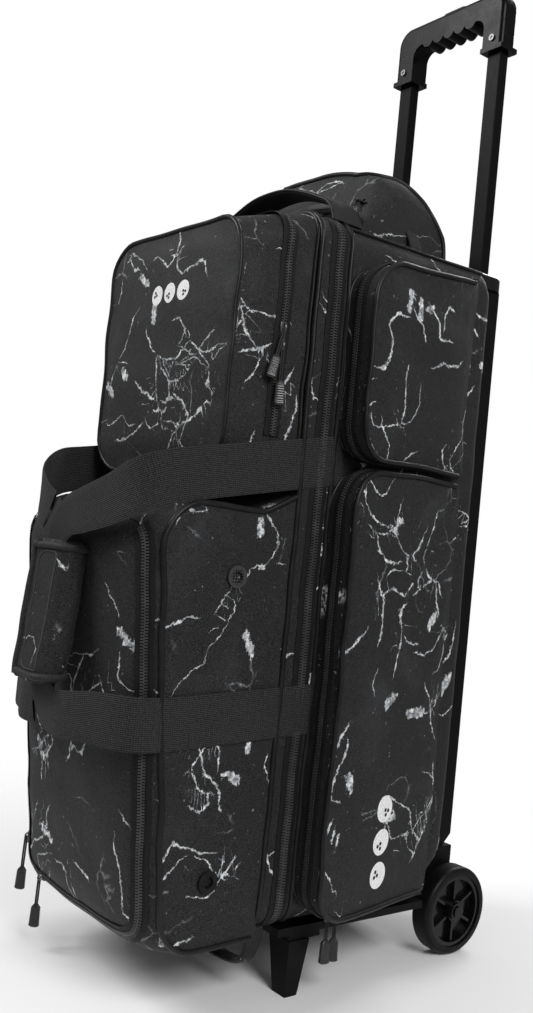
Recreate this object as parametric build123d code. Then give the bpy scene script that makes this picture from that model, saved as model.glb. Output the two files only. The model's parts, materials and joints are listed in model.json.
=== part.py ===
"""Rolling bag for three bowling balls, stacked one above another.

Origin: middle of the footprint, on the floor. +Z up, -Y is the front of the bag, +X its right side
seen from the front. Millimetres. The handle is drawn pulled out and every pocket is closed.
"""
import os
from math import atan2, cos, degrees, radians, sin

from build123d import *

# ---- Driving dimensions ---------------------------------------------------------------------
BALL_R = 108.0               # ten-pin ball, 8.5 in across

BAG_HALF_WIDTH = 130.0       # main body, centre to side
BAG_BOTTOM = 70.0            # underside of the ball bay
BAG_TOP = 796.0
BODY_REAR = 196.0            # back wall of the ball bay
ZIP_Y = -45.0                # plane of the main zipper: lid in front, ball bay behind
LID_REAR_Y = ZIP_Y - 0.3
LID_FRONT_Y = -70.0
CORNER_R = 28.0              # corners of the body seen from the front
BAY_WALL = 6.0               # padded cloth
BAY_HEEL, BAY_SHOULDER = 44.0, 14.0     # slants at its lower and upper rear edges

FRAME_HALF_WIDTH = 100.0     # moulded backing that holds the handle tubes
FRAME_REAR = 240.0
FRAME_BOTTOM, FRAME_TOP = 118.0, 782.0
CAP_TOP = 800.0

TUBE_X, TUBE_Y = 75.0, 227.0
INNER_TUBE = (20.0, 15.0, 1.5)          # width, depth, wall
OUTER_TUBE = (23.6, 18.6, 1.4)
INNER_TUBE_BOTTOM = 395.0
GRIP_BOTTOM, GRIP_TOP = 1080.0, 1155.0
GRIP_LEG = (30.0, 27.0)                 # width, depth
GRIP_BAR_UNDERSIDE = 1126.0
BUTTON_PROUD = 4.0

WHEEL_R, WHEEL_Y = 50.0, 227.5
WHEEL_IN, WHEEL_OUT = 105.0, 130.0      # inner and outer face
AXLE_R = 4.0
HUB_BORE_R = AXLE_R + 0.05

TRAY_BOTTOM = 62.0
FOOT_X, FOOT_Y = 130.0, -25.5           # outer front corner
FOOT_TOP_SIZE, FOOT_TIP_SIZE = (33.0, 27.0), (20.0, 16.0)

CUP_R, CUP_HEIGHT, CUP_SEAT_LIFT = 76.0, 34.0, 6.0
DIVIDER_THICK = 8.0
BALL_Y = 72.0
CUP_FLOORS = (BAG_BOTTOM + BAY_WALL, 311.0, 546.0)

SHOE_BOTTOM, SHOE_TOP = 62.0, 493.0
SHOE_FRONT_LOW, SHOE_FRONT_HIGH = -205.0, -248.0    # the front leans out towards its top
SHOE_SIDE_R, SHOE_EDGE_R = 45.0, 22.0
SHOE_WALL = 3.5
FLAP_DEPTH = 10.0

UPPER_HALF_WIDTH = 124.0
UPPER_BOTTOM, UPPER_TOP_REAR, UPPER_TOP_FRONT = 508.0, 796.0, 775.0
UPPER_FRONT = -165.0
UPPER_ZIP_Y = -105.0
UPPER_WALL = 3.0

POCKET_REAR, POCKET_FRONT = 160.0, -28.0
POCKET_FRONT_X, POCKET_REAR_X = 170.0, 136.0        # outer panel: it stands out most at its front
POCKET_CORNER_R = 35.0
POCKET_WALL = 3.0
POCKET_HEIGHTS = {"lower": (85.0, 540.0), "upper": (552.0, 758.0)}
ZIP_GAP = 0.4                           # between the two halves of a closed zipper

WEB_WIDTH, WEB_THICK = 50.0, 2.5        # carry webbing
WEB_GATHERED = 44.0                     # its width where it is gathered into the wrap
LOOP_PIVOT_Y = -175.0                   # where the sewn-down webbing ends and the loop starts
WRAP_Y, WRAP_HALF_WIDTH, WRAP_DEPTH = -261.5, 33.0, 32.0
WRAP_BOTTOM, WRAP_TOP = 303.0, 440.0

os.makedirs("parts", exist_ok=True)
SIDES = {"left": -1, "right": 1}


# ---- Helpers --------------------------------------------------------------------------------
def block(x, y, z):
    """Box between (low, high) pairs."""
    size = [hi - lo for lo, hi in (x, y, z)]
    middle = [(hi + lo) / 2 for lo, hi in (x, y, z)]
    return Pos(*middle) * Box(*size)


def rod(radius, start, end):
    """Round bar from one point to another."""
    start, end = Vector(*start), Vector(*end)
    axis = end - start
    return extrude(Plane(start, z_dir=axis) * Circle(radius), axis.length)


def rounded_rect(width, height, radius):
    return RectangleRounded(width, height, radius) if radius else Rectangle(width, height)


def front_prism(half_width, z, y, radius):
    """Rounded rectangle seen from the front, drawn out along Y."""
    plane = Plane((0, y[1], sum(z) / 2), x_dir=(1, 0, 0), z_dir=(0, -1, 0))
    return extrude(plane * rounded_rect(2 * half_width, z[1] - z[0], radius), y[1] - y[0])


def side_prism(points, x, fillets=()):
    """Outline of (y, z) points drawn out along X; fillets are (point number, radius)."""
    plane = Plane((x[0], 0, 0), x_dir=(0, 1, 0), z_dir=(1, 0, 0))
    outline = make_face(Polyline(*points, close=True))
    for number, radius in fillets:
        y, z = points[number]
        corner = [v for v in outline.vertices() if abs(v.X - y) < 0.01 and abs(v.Y - z) < 0.01]
        outline = fillet(corner, radius)
    return extrude(plane * outline, x[1] - x[0])


def plan_prism(points, z):
    """Outline of (x, y) points drawn up along Z."""
    return extrude(Pos(0, 0, z[0]) * make_face(Polyline(*points, close=True)), z[1] - z[0])


def mirrored(shape, side):
    """The right-hand piece, or its mirror image for the left."""
    return shape if side > 0 else mirror(shape, about=Plane.YZ)


def save(name, shape):
    solids = shape.solids()
    shape = solids[0] if len(solids) == 1 else Compound(children=list(solids))
    shape.label = name
    export_step(shape, f"parts/{name}.step")


# ---- Frame, feet and wheels -----------------------------------------------------------------
def rect_tube(size, x, z):
    width, depth, wall = size
    section = Rectangle(width, depth) - Rectangle(width - 2 * wall, depth - 2 * wall)
    return extrude(Pos(x, TUBE_Y, z[0]) * fillet(section.vertices(), wall * 0.6), z[1] - z[0])


def back_frame():
    """Channel-shaped backing: a web against the bag, two side flanges and spacers for the tubes."""
    wall = 4.0
    z = (FRAME_BOTTOM, FRAME_TOP)
    frame = block((-FRAME_HALF_WIDTH, FRAME_HALF_WIDTH), (BODY_REAR, BODY_REAR + wall), z)
    tube_front = TUBE_Y - OUTER_TUBE[1] / 2
    for side in SIDES.values():
        x = sorted((side * (FRAME_HALF_WIDTH - wall), side * FRAME_HALF_WIDTH))
        frame += block(x, (BODY_REAR + wall, FRAME_REAR), z)
        for height in (190.0, 450.0, 710.0):
            frame += block((side * TUBE_X - 14, side * TUBE_X + 14), (BODY_REAR + wall, tube_front),
                           (height, height + 24))
    corner = side_prism([(FRAME_REAR - 14, z[0] - 1), (FRAME_REAR + 1, z[0] - 1),
                                (FRAME_REAR + 1, z[0] + 14)], (-110, 110))
    return frame - corner


def top_cap():
    """Glossy moulding that closes the frame and guides the inner tubes."""
    half, depth = FRAME_HALF_WIDTH + 4, (BODY_REAR, FRAME_REAR + 2)
    cap = block((-half, half), depth, (FRAME_TOP, CAP_TOP))
    cap = fillet(cap.edges().filter_by(Axis.Z).group_by(Axis.Y)[-1], 12)
    cap = fillet(cap.faces().sort_by(Axis.Z)[-1].edges(), 5)
    width, depth = INNER_TUBE[0] + 0.6, INNER_TUBE[1] + 0.6
    for side in SIDES.values():
        cap -= Pos(side * TUBE_X, TUBE_Y, CAP_TOP) * Box(width, depth, 60)
    return cap


def base_tray():
    """Moulded floor under the ball bay, with the housing that carries the axle at its rear."""
    housing_x = WHEEL_IN - 2
    tray = block((-128, 128), (-40, BODY_REAR), (TRAY_BOTTOM, BAG_BOTTOM))
    for side in SIDES.values():
        well = sorted((side * housing_x, side * 140))
        tray -= block(well, (170, BODY_REAR + 1), (TRAY_BOTTOM - 1, BAG_BOTTOM + 1))
    tray += block((-housing_x, housing_x), (BODY_REAR, FRAME_REAR), (TRAY_BOTTOM, FRAME_BOTTOM))
    for side in SIDES.values():
        inner, outer = side * 72, side * housing_x
        tray += block(sorted((inner, outer)), (WHEEL_Y - 16, WHEEL_Y + 12.5), (50, TRAY_BOTTOM))
        tray += rod(16, (inner, WHEEL_Y, 50), (outer, WHEEL_Y, 50))
    return tray - rod(AXLE_R, (-140, WHEEL_Y, 50), (140, WHEEL_Y, 50))


def foot():
    """Tapered leg under a flat flange; its outer front corner stands straight."""
    flange_z = TRAY_BOTTOM - 6
    top = Pos(FOOT_X - FOOT_TOP_SIZE[0] / 2, FOOT_Y + FOOT_TOP_SIZE[1] / 2, flange_z)
    tip = Pos(FOOT_X - FOOT_TIP_SIZE[0] / 2, FOOT_Y + FOOT_TIP_SIZE[1] / 2, 0)
    leg = loft([tip * Rectangle(*FOOT_TIP_SIZE), top * Rectangle(*FOOT_TOP_SIZE)])
    leg += block((FOOT_X - 38, FOOT_X - 2), (FOOT_Y + 1, FOOT_Y + 42), (flange_z, TRAY_BOTTOM))
    return leg


def axle():
    half = WHEEL_OUT - 2
    return rod(AXLE_R, (-half, WHEEL_Y, 50), (half, WHEEL_Y, 50))


def on_axle(shape):
    """Puts a shape drawn round +Z, with its inner face at zero, onto the right end of the axle."""
    return Pos(WHEEL_IN, WHEEL_Y, WHEEL_R) * Rot(0, 90, 0) * shape


TYRE_BORE_R = 41.0


def tyre():
    width = WHEEL_OUT - WHEEL_IN
    tread = Cylinder(WHEEL_R, width)
    tread = Pos(0, 0, width / 2) * fillet(tread.edges(), 5)
    return on_axle(tread - Pos(0, 0, width / 2) * Cylinder(TYRE_BORE_R, width + 2))


def wheel():
    """Moulded wheel: rim, thin dished web, six ribs and a hub."""
    width, rim_r, hub_r = WHEEL_OUT - WHEEL_IN, 36.0, 12.0
    middle = Pos(0, 0, width / 2)
    solid = middle * (Cylinder(TYRE_BORE_R, width - 4) - Cylinder(rim_r, width))
    solid += middle * Cylinder(rim_r + 1, 4)
    solid += middle * Cylinder(hub_r, width - 2)
    for turn in range(6):
        rib = Pos((hub_r + rim_r) / 2, 0, width / 2) * Box(rim_r - hub_r + 3, 3, width - 9)
        solid += Rot(0, 0, 60 * turn) * rib
    return on_axle(solid - middle * Cylinder(HUB_BORE_R, width + 10))


def hub_cap():
    """Stepped boss over the end of the axle."""
    width = WHEEL_OUT - WHEEL_IN
    boss = Pos(0, 0, width - 1 + 1.5) * Cylinder(10, 3) + Pos(0, 0, width + 2 + 1) * Cylinder(6.5, 2)
    return on_axle(boss)


# ---- Handle ---------------------------------------------------------------------------------
def inner_tube(x):
    return rect_tube(INNER_TUBE, x, (INNER_TUBE_BOTTOM, GRIP_BAR_UNDERSIDE))


def grip():
    """One-piece moulded grip with five finger bumps and a seat for the button."""
    width, depth = GRIP_LEG
    half = TUBE_X + width / 2
    plane = Plane((0, TUBE_Y + depth / 2, 0), x_dir=(1, 0, 0), z_dir=(0, -1, 0))
    outer = Pos(0, (GRIP_TOP + GRIP_BOTTOM) / 2) * Rectangle(2 * half, GRIP_TOP - GRIP_BOTTOM)
    outer = fillet(outer.vertices().group_by(Axis.Y)[-1], 22)
    opening_half = half - width
    opening = Pos(0, (GRIP_BAR_UNDERSIDE + GRIP_BOTTOM - 20) / 2) * Rectangle(
        2 * opening_half, GRIP_BAR_UNDERSIDE - GRIP_BOTTOM + 20)
    opening = fillet(opening.vertices().group_by(Axis.Y)[-1], 14)
    body = extrude(plane * (outer - opening), depth)
    body = fillet(body.edges().filter_by(GeomType.LINE).filter_by(Axis.X).group_by(Axis.Z)[-1], 6)
    for number in range(-2, 3):
        x, z = number * 18, GRIP_BAR_UNDERSIDE + 3
        body += rod(9, (x, TUBE_Y - depth / 2, z), (x, TUBE_Y + depth / 2, z))
    for side in SIDES.values():
        x = side * TUBE_X
        body -= Pos(x, TUBE_Y, (GRIP_BOTTOM + GRIP_BAR_UNDERSIDE) / 2 - 5) * Box(
            INNER_TUBE[0], INNER_TUBE[1], GRIP_BAR_UNDERSIDE - GRIP_BOTTOM + 10)
        body -= rod(2, (x, TUBE_Y - depth, SCREW_Z), (x, TUBE_Y, SCREW_Z))
        body += Pos(x, TUBE_Y, GRIP_BOTTOM + 3) * (
            Box(width + 3, depth + 3, 6) - Box(width - 1, depth - 1, 8))
    return body - Pos(0, TUBE_Y, GRIP_TOP - 6) * extrude(SlotOverall(40.8, 14.8), 10)


SCREW_Z = 1096.0


def grip_screw(x):
    """Screw through the front of one grip leg into its tube."""
    face = TUBE_Y - GRIP_LEG[1] / 2
    head = rod(4, (x, face - 2, SCREW_Z), (x, face, SCREW_Z))
    head -= Pos(x, face - 2, SCREW_Z) * Box(5, 1.6, 1)
    head -= Pos(x, face - 2, SCREW_Z) * Box(1, 1.6, 5)
    return head + rod(2, (x, face, SCREW_Z), (x, TUBE_Y - INNER_TUBE[1] / 2, SCREW_Z))


def grip_button():
    base = GRIP_TOP - 6 + BUTTON_PROUD + 0.4
    button = Pos(0, TUBE_Y, base) * extrude(SlotOverall(40, 14), GRIP_TOP + BUTTON_PROUD - base)
    return fillet(button.faces().sort_by(Axis.Z)[-1].edges(), 1.5)


# ---- Ball bay -------------------------------------------------------------------------------
def bay_outline(inset):
    """Outer form of the ball bay, or its hollow when inset is the wall thickness."""
    half, rear, low, high = (BAG_HALF_WIDTH - inset, BODY_REAR - inset, BAG_BOTTOM + inset,
                             BAG_TOP - inset)
    front = ZIP_Y if inset == 0 else ZIP_Y - 1
    shape = front_prism(half, (low, high), (front, rear), CORNER_R - inset)
    slant = 1 - inset * (2 - 2 ** 0.5) / BAY_HEEL
    heel, shoulder = BAY_HEEL * slant, BAY_SHOULDER * slant
    profile = [(front, low), (rear - heel, low), (rear, low + heel), (rear, high - shoulder),
               (rear - shoulder, high), (front, high)]
    return shape & side_prism(profile, (-half - 1, half + 1))


def ball_cup(floor):
    """Foam ring with a spherical seat."""
    cup = Pos(0, BALL_Y, floor + CUP_HEIGHT / 2) * Cylinder(CUP_R, CUP_HEIGHT)
    return cup - Pos(0, BALL_Y, floor + CUP_SEAT_LIFT + BALL_R + 1) * Sphere(BALL_R + 1)


def divider(top):
    half, rear = BAG_HALF_WIDTH - BAY_WALL - 0.4, BODY_REAR - BAY_WALL - 0.4
    plate = block((-half, half), (ZIP_Y + 4, rear), (top - DIVIDER_THICK, top))
    return fillet(plate.edges().filter_by(Axis.Z).group_by(Axis.Y)[-1], 24.5)


# ---- Side pockets ---------------------------------------------------------------------------
def pocket_form(z, inset):
    """Wedge that stands out most at its front, with rounded front corners seen from the side."""
    outer_rear = POCKET_REAR - 2 * inset
    front_x, rear_x = POCKET_FRONT_X - inset, POCKET_REAR_X - inset
    front = POCKET_FRONT + inset
    wedge = plan_prism([(BAG_HALF_WIDTH, front), (front_x, front), (rear_x, outer_rear),
                        (BAG_HALF_WIDTH, outer_rear)], z)
    low, high = z[0] + inset, z[1] - inset
    profile = [(front, low), (outer_rear, low), (outer_rear, high), (front, high)]
    radius = POCKET_CORNER_R - inset
    return wedge & side_prism(profile, (120, 180), [(0, radius), (3, radius)])


def zip_line_x(y):
    """Where the pocket's zipper lies, halfway out from the body."""
    share = (POCKET_REAR - y) / (POCKET_REAR - POCKET_FRONT)
    outer = POCKET_REAR_X + share * (POCKET_FRONT_X - POCKET_REAR_X)
    return (BAG_HALF_WIDTH + outer) / 2


def side_pocket(z):
    """Fixed gusset and swinging outer panel of one side pocket."""
    shell = pocket_form(z, 0) - pocket_form(z, POCKET_WALL)
    tall = (z[0] - 5, z[1] + 5)
    front, rear = POCKET_FRONT - 5, POCKET_REAR + 5
    inside = plan_prism([(125, front), (zip_line_x(front), front), (zip_line_x(rear), rear),
                         (125, rear)], tall)
    outside = plan_prism([(185, front), (zip_line_x(front) + ZIP_GAP, front),
                          (zip_line_x(rear) + ZIP_GAP, rear), (185, rear)], tall)
    return shell & inside, shell & outside


# ---- Top pocket and top handle --------------------------------------------------------------
TOP_POCKET_PROFILE = [(-5, 770), (8, 838), (30, 884), (62, 892), (95, 878), (118, 842), (124, 770)]
TOP_POCKET_HALF_WIDTH = 112.0


def top_pocket():
    """Half-dome pocket on the bag's top, open underneath where the bag closes it."""
    wall = 4.0
    inner = [(4, 770), (13, 836), (33, 879), (62, 888), (92, 874), (113, 840), (119, 770)]
    half = TOP_POCKET_HALF_WIDTH
    dome = side_prism(TOP_POCKET_PROFILE, (-half, half)) & front_prism(half, (700, 892), (-10, 130), 42)
    dome -= (side_prism(inner, (wall - half, half - wall))
             & front_prism(half - wall, (700, 892 - wall), (-10, 130), 38))
    return dome - bay_outline(0)


def top_handle():
    """Padded band arching across the top just behind the main zipper."""
    outline = [(-116, 780), (-103, 836), (0, 851), (103, 836), (116, 780)]
    under = [(109, 780), (97, 830), (0, 844), (-97, 830), (-109, 780)]
    plane = Plane((0, 5, 0), x_dir=(1, 0, 0), z_dir=(0, -1, 0))
    band = extrude(plane * make_face(Polyline(*outline, *under, close=True)), 49)
    return band - bay_outline(0) - top_pocket() - block((-150, 150), (-6, 20), (700, 900))


# ---- Lid ------------------------------------------------------------------------------------
def lid_band():
    """Rim of the lid and the wall that carries the front pockets."""
    wall, y = 5.0, (LID_FRONT_Y, LID_REAR_Y)
    rim = front_prism(BAG_HALF_WIDTH, (BAG_BOTTOM, BAG_TOP), y, CORNER_R)
    hollow = (LID_FRONT_Y + 3.5, LID_REAR_Y + 1)
    return rim - front_prism(BAG_HALF_WIDTH - wall, (BAG_BOTTOM + wall, BAG_TOP - wall), hollow,
                             CORNER_R - wall)


LEAN = (SHOE_FRONT_HIGH - SHOE_FRONT_LOW) / (SHOE_TOP - SHOE_BOTTOM)


def shoe_form(inset):
    """Shoe compartment: a box with a leaning front and rounded side panels."""
    low, high = SHOE_BOTTOM + inset, SHOE_TOP - inset
    rear = LID_FRONT_Y + (5 if inset else 0)
    front_low = SHOE_FRONT_LOW + LEAN * inset + inset
    front_high = SHOE_FRONT_HIGH - LEAN * inset + inset
    points = [(rear, low), (front_low, low), (front_high, high), (rear, high)]
    half = BAG_HALF_WIDTH - inset
    form = side_prism(points, (-half, half), [(1, SHOE_SIDE_R - inset), (2, SHOE_SIDE_R - inset)])
    ends = form.faces().filter_by(Plane.YZ)
    rim = [e for face in ends for e in face.edges() if e.center().Y < rear - 1]
    return fillet(rim, SHOE_EDGE_R - inset)


def front_of_shoe_zip(offset):
    """Everything in front of the leaning plane of the flap's zipper, moved forward by offset."""
    y_low = SHOE_FRONT_LOW + FLAP_DEPTH - offset
    return side_prism([(y_low - LEAN * 20, SHOE_BOTTOM - 20), (-400, SHOE_BOTTOM - 20),
                       (-400, SHOE_TOP + 20), (y_low + LEAN * (SHOE_TOP - SHOE_BOTTOM + 20), SHOE_TOP + 20)],
                      (-150, 150))


def shoe_shell():
    shell = shoe_form(0) - shoe_form(SHOE_WALL)
    return shell - block((-150, 150), (LID_FRONT_Y, LID_FRONT_Y + 50), (0, 900))


VENT_Y, VENT_HEIGHTS, VENT_R = -136.0, (131.0, 422.0), 11.0


def shoe_box(shell):
    box = shell - front_of_shoe_zip(0)
    for height in VENT_HEIGHTS:
        box -= rod(VENT_R - 4, (-150, VENT_Y, height), (150, VENT_Y, height))
    return box


def vent(height):
    """Eyelet with a perforated disc, on the right."""
    face = BAG_HALF_WIDTH
    ring = rod(VENT_R, (face, VENT_Y, height), (face + 1.8, VENT_Y, height))
    ring += rod(VENT_R - 4, (face - SHOE_WALL, VENT_Y, height), (face, VENT_Y, height))
    ring -= rod(VENT_R - 5.5, (face - 1, VENT_Y, height), (face + 3, VENT_Y, height))
    for turn in range(6):
        y, z = VENT_Y + 3.4 * cos(radians(60 * turn)), height + 3.4 * sin(radians(60 * turn))
        ring -= rod(0.9, (face - 5, y, z), (face + 3, y, z))
    return ring


def upper_form(inset):
    half = UPPER_HALF_WIDTH - inset
    low, front = UPPER_BOTTOM + inset, UPPER_FRONT + inset
    rear = LID_FRONT_Y + (5 if inset else 0)
    points = [(rear, low), (front, low), (front, UPPER_TOP_FRONT - inset), (rear, UPPER_TOP_REAR - inset)]
    form = side_prism(points, (-half, half), [(1, 45 - inset), (2, 22 - inset)])
    return form & front_prism(half, (low, UPPER_TOP_REAR), (-200, 0), 24 - inset)


def upper_shell():
    shell = upper_form(0) - upper_form(UPPER_WALL)
    return shell - block((-150, 150), (LID_FRONT_Y, LID_FRONT_Y + 50), (0, 900))


def bottom_handle():
    """Grab band slung under the lid."""
    outline = [(-122, 74), (-104, 24), (104, 24), (122, 74)]
    inner = [(116, 74), (100, 28), (-100, 28), (-116, 74)]
    plane = Plane((0, -52, 0), x_dir=(1, 0, 0), z_dir=(0, -1, 0))
    band = extrude(plane * make_face(Polyline(*outline, *inner, close=True)), 17)
    return band - front_prism(BAG_HALF_WIDTH, (BAG_BOTTOM, BAG_TOP), (-100, 0), CORNER_R)


# ---- Carry webbing --------------------------------------------------------------------------
SEWN_RUNS = (((LID_REAR_Y - 0.7, 543), (LOOP_PIVOT_Y, 519)), ((LID_REAR_Y - 0.7, 292), (LOOP_PIVOT_Y, 284)))


def sewn_webbing():
    """Two runs of webbing sewn flat to the right side of the lid."""
    half, x = WEB_WIDTH / 2, (BAG_HALF_WIDTH, BAG_HALF_WIDTH + WEB_THICK)
    runs = []
    for (y0, z0), (y1, z1) in SEWN_RUNS:
        runs.append(side_prism([(y0, z0 - half), (y1, z1 - half), (y1, z1 + half), (y0, z0 + half)], x))
    return Compound(children=runs)


def webbing(points):
    """Band through (x, y, z, tilt) stations; tilt turns its width about the path, 0 is upright."""
    sections = []
    for number, (x, y, z, tilt) in enumerate(points):
        before, after = points[max(number - 1, 0)], points[min(number + 1, len(points) - 1)]
        along = Vector(*after[:3]) - Vector(*before[:3])
        flat = Vector(along.X, along.Y, 0).normalized() if abs(along.X) + abs(along.Y) > 1 else Vector(-1, 0, 0)
        across = Vector(0, 0, 1) * cos(radians(tilt)) + flat * sin(radians(tilt))
        plane = Plane((x, y, z), x_dir=across, z_dir=along)
        gather = abs(sin(radians(tilt)))
        sections.append(plane * Rectangle(WEB_WIDTH + gather * (WEB_GATHERED - WEB_WIDTH), WEB_THICK))
    return loft(sections, ruled=True)


def carry_loop(layer_y):
    """Right-hand loop: upper run, the turn inside the wrap and lower run."""
    side_x = BAG_HALF_WIDTH + WEB_THICK / 2
    start = LOOP_PIVOT_Y - 5
    upper = [(side_x, start, 518, 0), (side_x, -216, 511, 0), (128, -238, 504, 0), (114, -253, 494, 5),
             (86, -260, 482, 15), (52, layer_y, 472, 35), (22, layer_y, 464, 60),
             (0, layer_y, 442, 90), (0, layer_y, 385, 90)]
    lower = [(side_x, start, 284, 0), (side_x, -210, 283, 0), (127, -231, 283, 0), (112, -244, 283, 0),
             (84, -254, 282, -10), (50, layer_y, 279, -35), (22, layer_y, 279, -60),
             (0, layer_y, 301, -90), (0, layer_y, 356, -90)]
    middle = block((-WEB_GATHERED / 2, WEB_GATHERED / 2), (layer_y - WEB_THICK / 2, layer_y + WEB_THICK / 2),
                   (356, 385))
    return webbing(upper) + middle + webbing(lower)


def handle_wrap():
    """Padded wrap that closes round both loops."""
    depth = (WRAP_Y - WRAP_DEPTH / 2, WRAP_Y + WRAP_DEPTH / 2)
    wrap = block((-WRAP_HALF_WIDTH, WRAP_HALF_WIDTH), depth, (WRAP_BOTTOM, WRAP_TOP))
    wrap = fillet(wrap.edges().filter_by(Axis.Z), 12)
    return wrap - block((-27, 27), (WRAP_Y - 7, WRAP_Y + 7), (0, 900))


# ---- Zipper sliders -------------------------------------------------------------------------
PULL_LENGTH = 58.0
BRIDGE_OUT = 3.9                        # from the cloth to the middle of the slider's bridge


def slider_body():
    """Slider seen from outside: +X away from the cloth, run of the zipper along Z."""
    body = Pos(1.6, 0, 0) * Box(2.6, 8, 11)
    return body + Pos(3.8, 0, 0) * (Box(2.4, 2.6, 9) - Pos(-0.6, 0, 0) * Box(1.6, 4, 5))


def cord_pull(length=PULL_LENGTH, top=-4.7):
    """Cord loop and moulded end, hanging below the slider's bridge."""
    tip_length = 24.0
    cord = block((BRIDGE_OUT - 0.9, BRIDGE_OUT + 0.9), (-1.7, 1.7), (tip_length - length - 2, top))
    tip = Pos(BRIDGE_OUT, 0, tip_length / 2 - length) * Box(5, 9, tip_length)
    return cord + fillet(tip.edges().filter_by(Axis.X), 3)


def slider_with_pull():
    return slider_body() + cord_pull(top=-3)


def on_front(shape):
    """Turns a slider drawn for the right side to face the front."""
    return Rot(0, 0, -90) * shape


UPPER_SLIDERS = {"high": (672.0, -15.0), "low": (650.0, 0.0)}      # height, lean of the pull in degrees
SHOE_LEAN_DEG = degrees(atan2(-LEAN, 1))


def shoe_sliders():
    """One slider at the start of the bottom run, one at the foot of the left run."""
    seam_y = SHOE_FRONT_LOW + FLAP_DEPTH
    bottom = Pos(-84, seam_y - 7.4, 78) * on_front(slider_with_pull())
    side_y = seam_y + LEAN * 60 - 3.2
    side = Pos(-125.1, side_y, SHOE_BOTTOM + 62) * Rot(0, 0, -135) * slider_with_pull()
    return bottom, side


def pocket_sliders():
    """Two sliders at the front end of the lower pocket's bottom run, pulls hanging."""
    sliders = []
    floor = POCKET_HEIGHTS["lower"][0]
    for y in (9.0, 22.0):
        body = Pos(zip_line_x(y) + 0.2, y, floor - 0.4) * Rot(0, 90, 0) * slider_body()
        pull = Pos(zip_line_x(y) - 3.7, y, floor + 8) * cord_pull()
        sliders.append(body + (pull - block((0, 300), (-50, 100), (floor - 4, 300))))
    return sliders


def top_slider():
    """Slider at the right end of the top pocket's zipper."""
    y, z = TOP_POCKET_PROFILE[1]
    out, length = 5.0, 36.0
    pull = Pos(out, 0, 0) * cord_pull(length, 1.7) + block((3, out + BRIDGE_OUT), (-1.7, 1.7), (-1.7, 1.7))
    return Pos(92, y - 0.6, z) * on_front(Rot(90, 0, 0) * slider_body() + pull)


# ---- Every piece, one file each -------------------------------------------------------------
def build_frame():
    save("back_frame", back_frame())
    save("top_cap", top_cap())
    save("base_tray", base_tray())
    save("axle", axle())
    for name, side in SIDES.items():
        save(f"outer_tube_{name}", rect_tube(OUTER_TUBE, side * TUBE_X, (FRAME_BOTTOM, FRAME_TOP)))
        save(f"foot_{name}", mirrored(foot(), side))
        save(f"tyre_{name}", mirrored(tyre(), side))
        save(f"wheel_{name}", mirrored(wheel(), side))
        save(f"hub_cap_{name}", mirrored(hub_cap(), side))


def build_handle():
    save("grip", grip())
    save("grip_button", grip_button())
    for name, side in SIDES.items():
        save(f"inner_tube_{name}", inner_tube(side * TUBE_X))
        save(f"grip_screw_{name}", grip_screw(side * TUBE_X))


def build_bay():
    save("ball_bay", bay_outline(0) - bay_outline(BAY_WALL))
    for name, floor in zip(("bottom", "middle", "top"), CUP_FLOORS):
        save(f"ball_cup_{name}", ball_cup(floor))
    save("divider_lower", divider(CUP_FLOORS[1]))
    save("divider_upper", divider(CUP_FLOORS[2]))
    save("top_pocket", top_pocket())
    save("top_handle", top_handle())
    for level, z in POCKET_HEIGHTS.items():
        gusset, panel = side_pocket(z)
        for name, side in SIDES.items():
            save(f"side_pocket_{level}_{name}", mirrored(gusset, side))
            save(f"side_door_{level}_{name}", mirrored(panel, side))


def build_lid():
    save("lid_band", lid_band())
    shell = shoe_shell()
    save("shoe_box", shoe_box(shell))
    save("shoe_flap", shell & front_of_shoe_zip(ZIP_GAP))
    upper = upper_shell()
    save("upper_box", upper & block((-150, 150), (UPPER_ZIP_Y, 0), (400, 900)))
    save("upper_door", upper & block((-150, 150), (-300, UPPER_ZIP_Y - ZIP_GAP), (400, 900)))
    save("bottom_handle", bottom_handle())
    vents = Compound(children=[vent(height) for height in VENT_HEIGHTS])
    for name, side in SIDES.items():
        save(f"vents_{name}", mirrored(vents, side))
        save(f"sewn_webbing_{name}", mirrored(sewn_webbing(), side))
    save("carry_loop_right", carry_loop(WRAP_Y - 3))
    save("carry_loop_left", mirrored(carry_loop(WRAP_Y + 3), -1))
    save("handle_wrap", handle_wrap())


def build_sliders():
    for name, (height, lean) in UPPER_SLIDERS.items():
        at = Pos(UPPER_HALF_WIDTH, UPPER_ZIP_Y, height)
        save(f"upper_slider_{name}", at * slider_body())
        save(f"upper_pull_{name}", at * Rot(lean, 0, 0) * cord_pull(top=-5.5))
    bottom, side = shoe_sliders()
    save("shoe_slider_bottom", bottom)
    save("shoe_slider_side", side)
    for number, slider in zip(("front", "rear"), pocket_sliders()):
        for name, side in SIDES.items():
            save(f"pocket_slider_{number}_{name}", mirrored(slider, side))
    save("top_slider", top_slider())


build_frame()
build_handle()
build_bay()
build_lid()
build_sliders()
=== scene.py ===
"""Looks of the rolling three-ball bag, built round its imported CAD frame.

Shapes are drawn in millimetres in the frame's axes (+Z up, -Y front, +X the bag's right side) and
turned into metres when each piece is made.
"""

import json
from math import acos, ceil, cos, pi, radians, sin, sqrt, tan

import bmesh
import bpy
import numpy as np
from mathutils import Euler, Matrix, Vector


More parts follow.
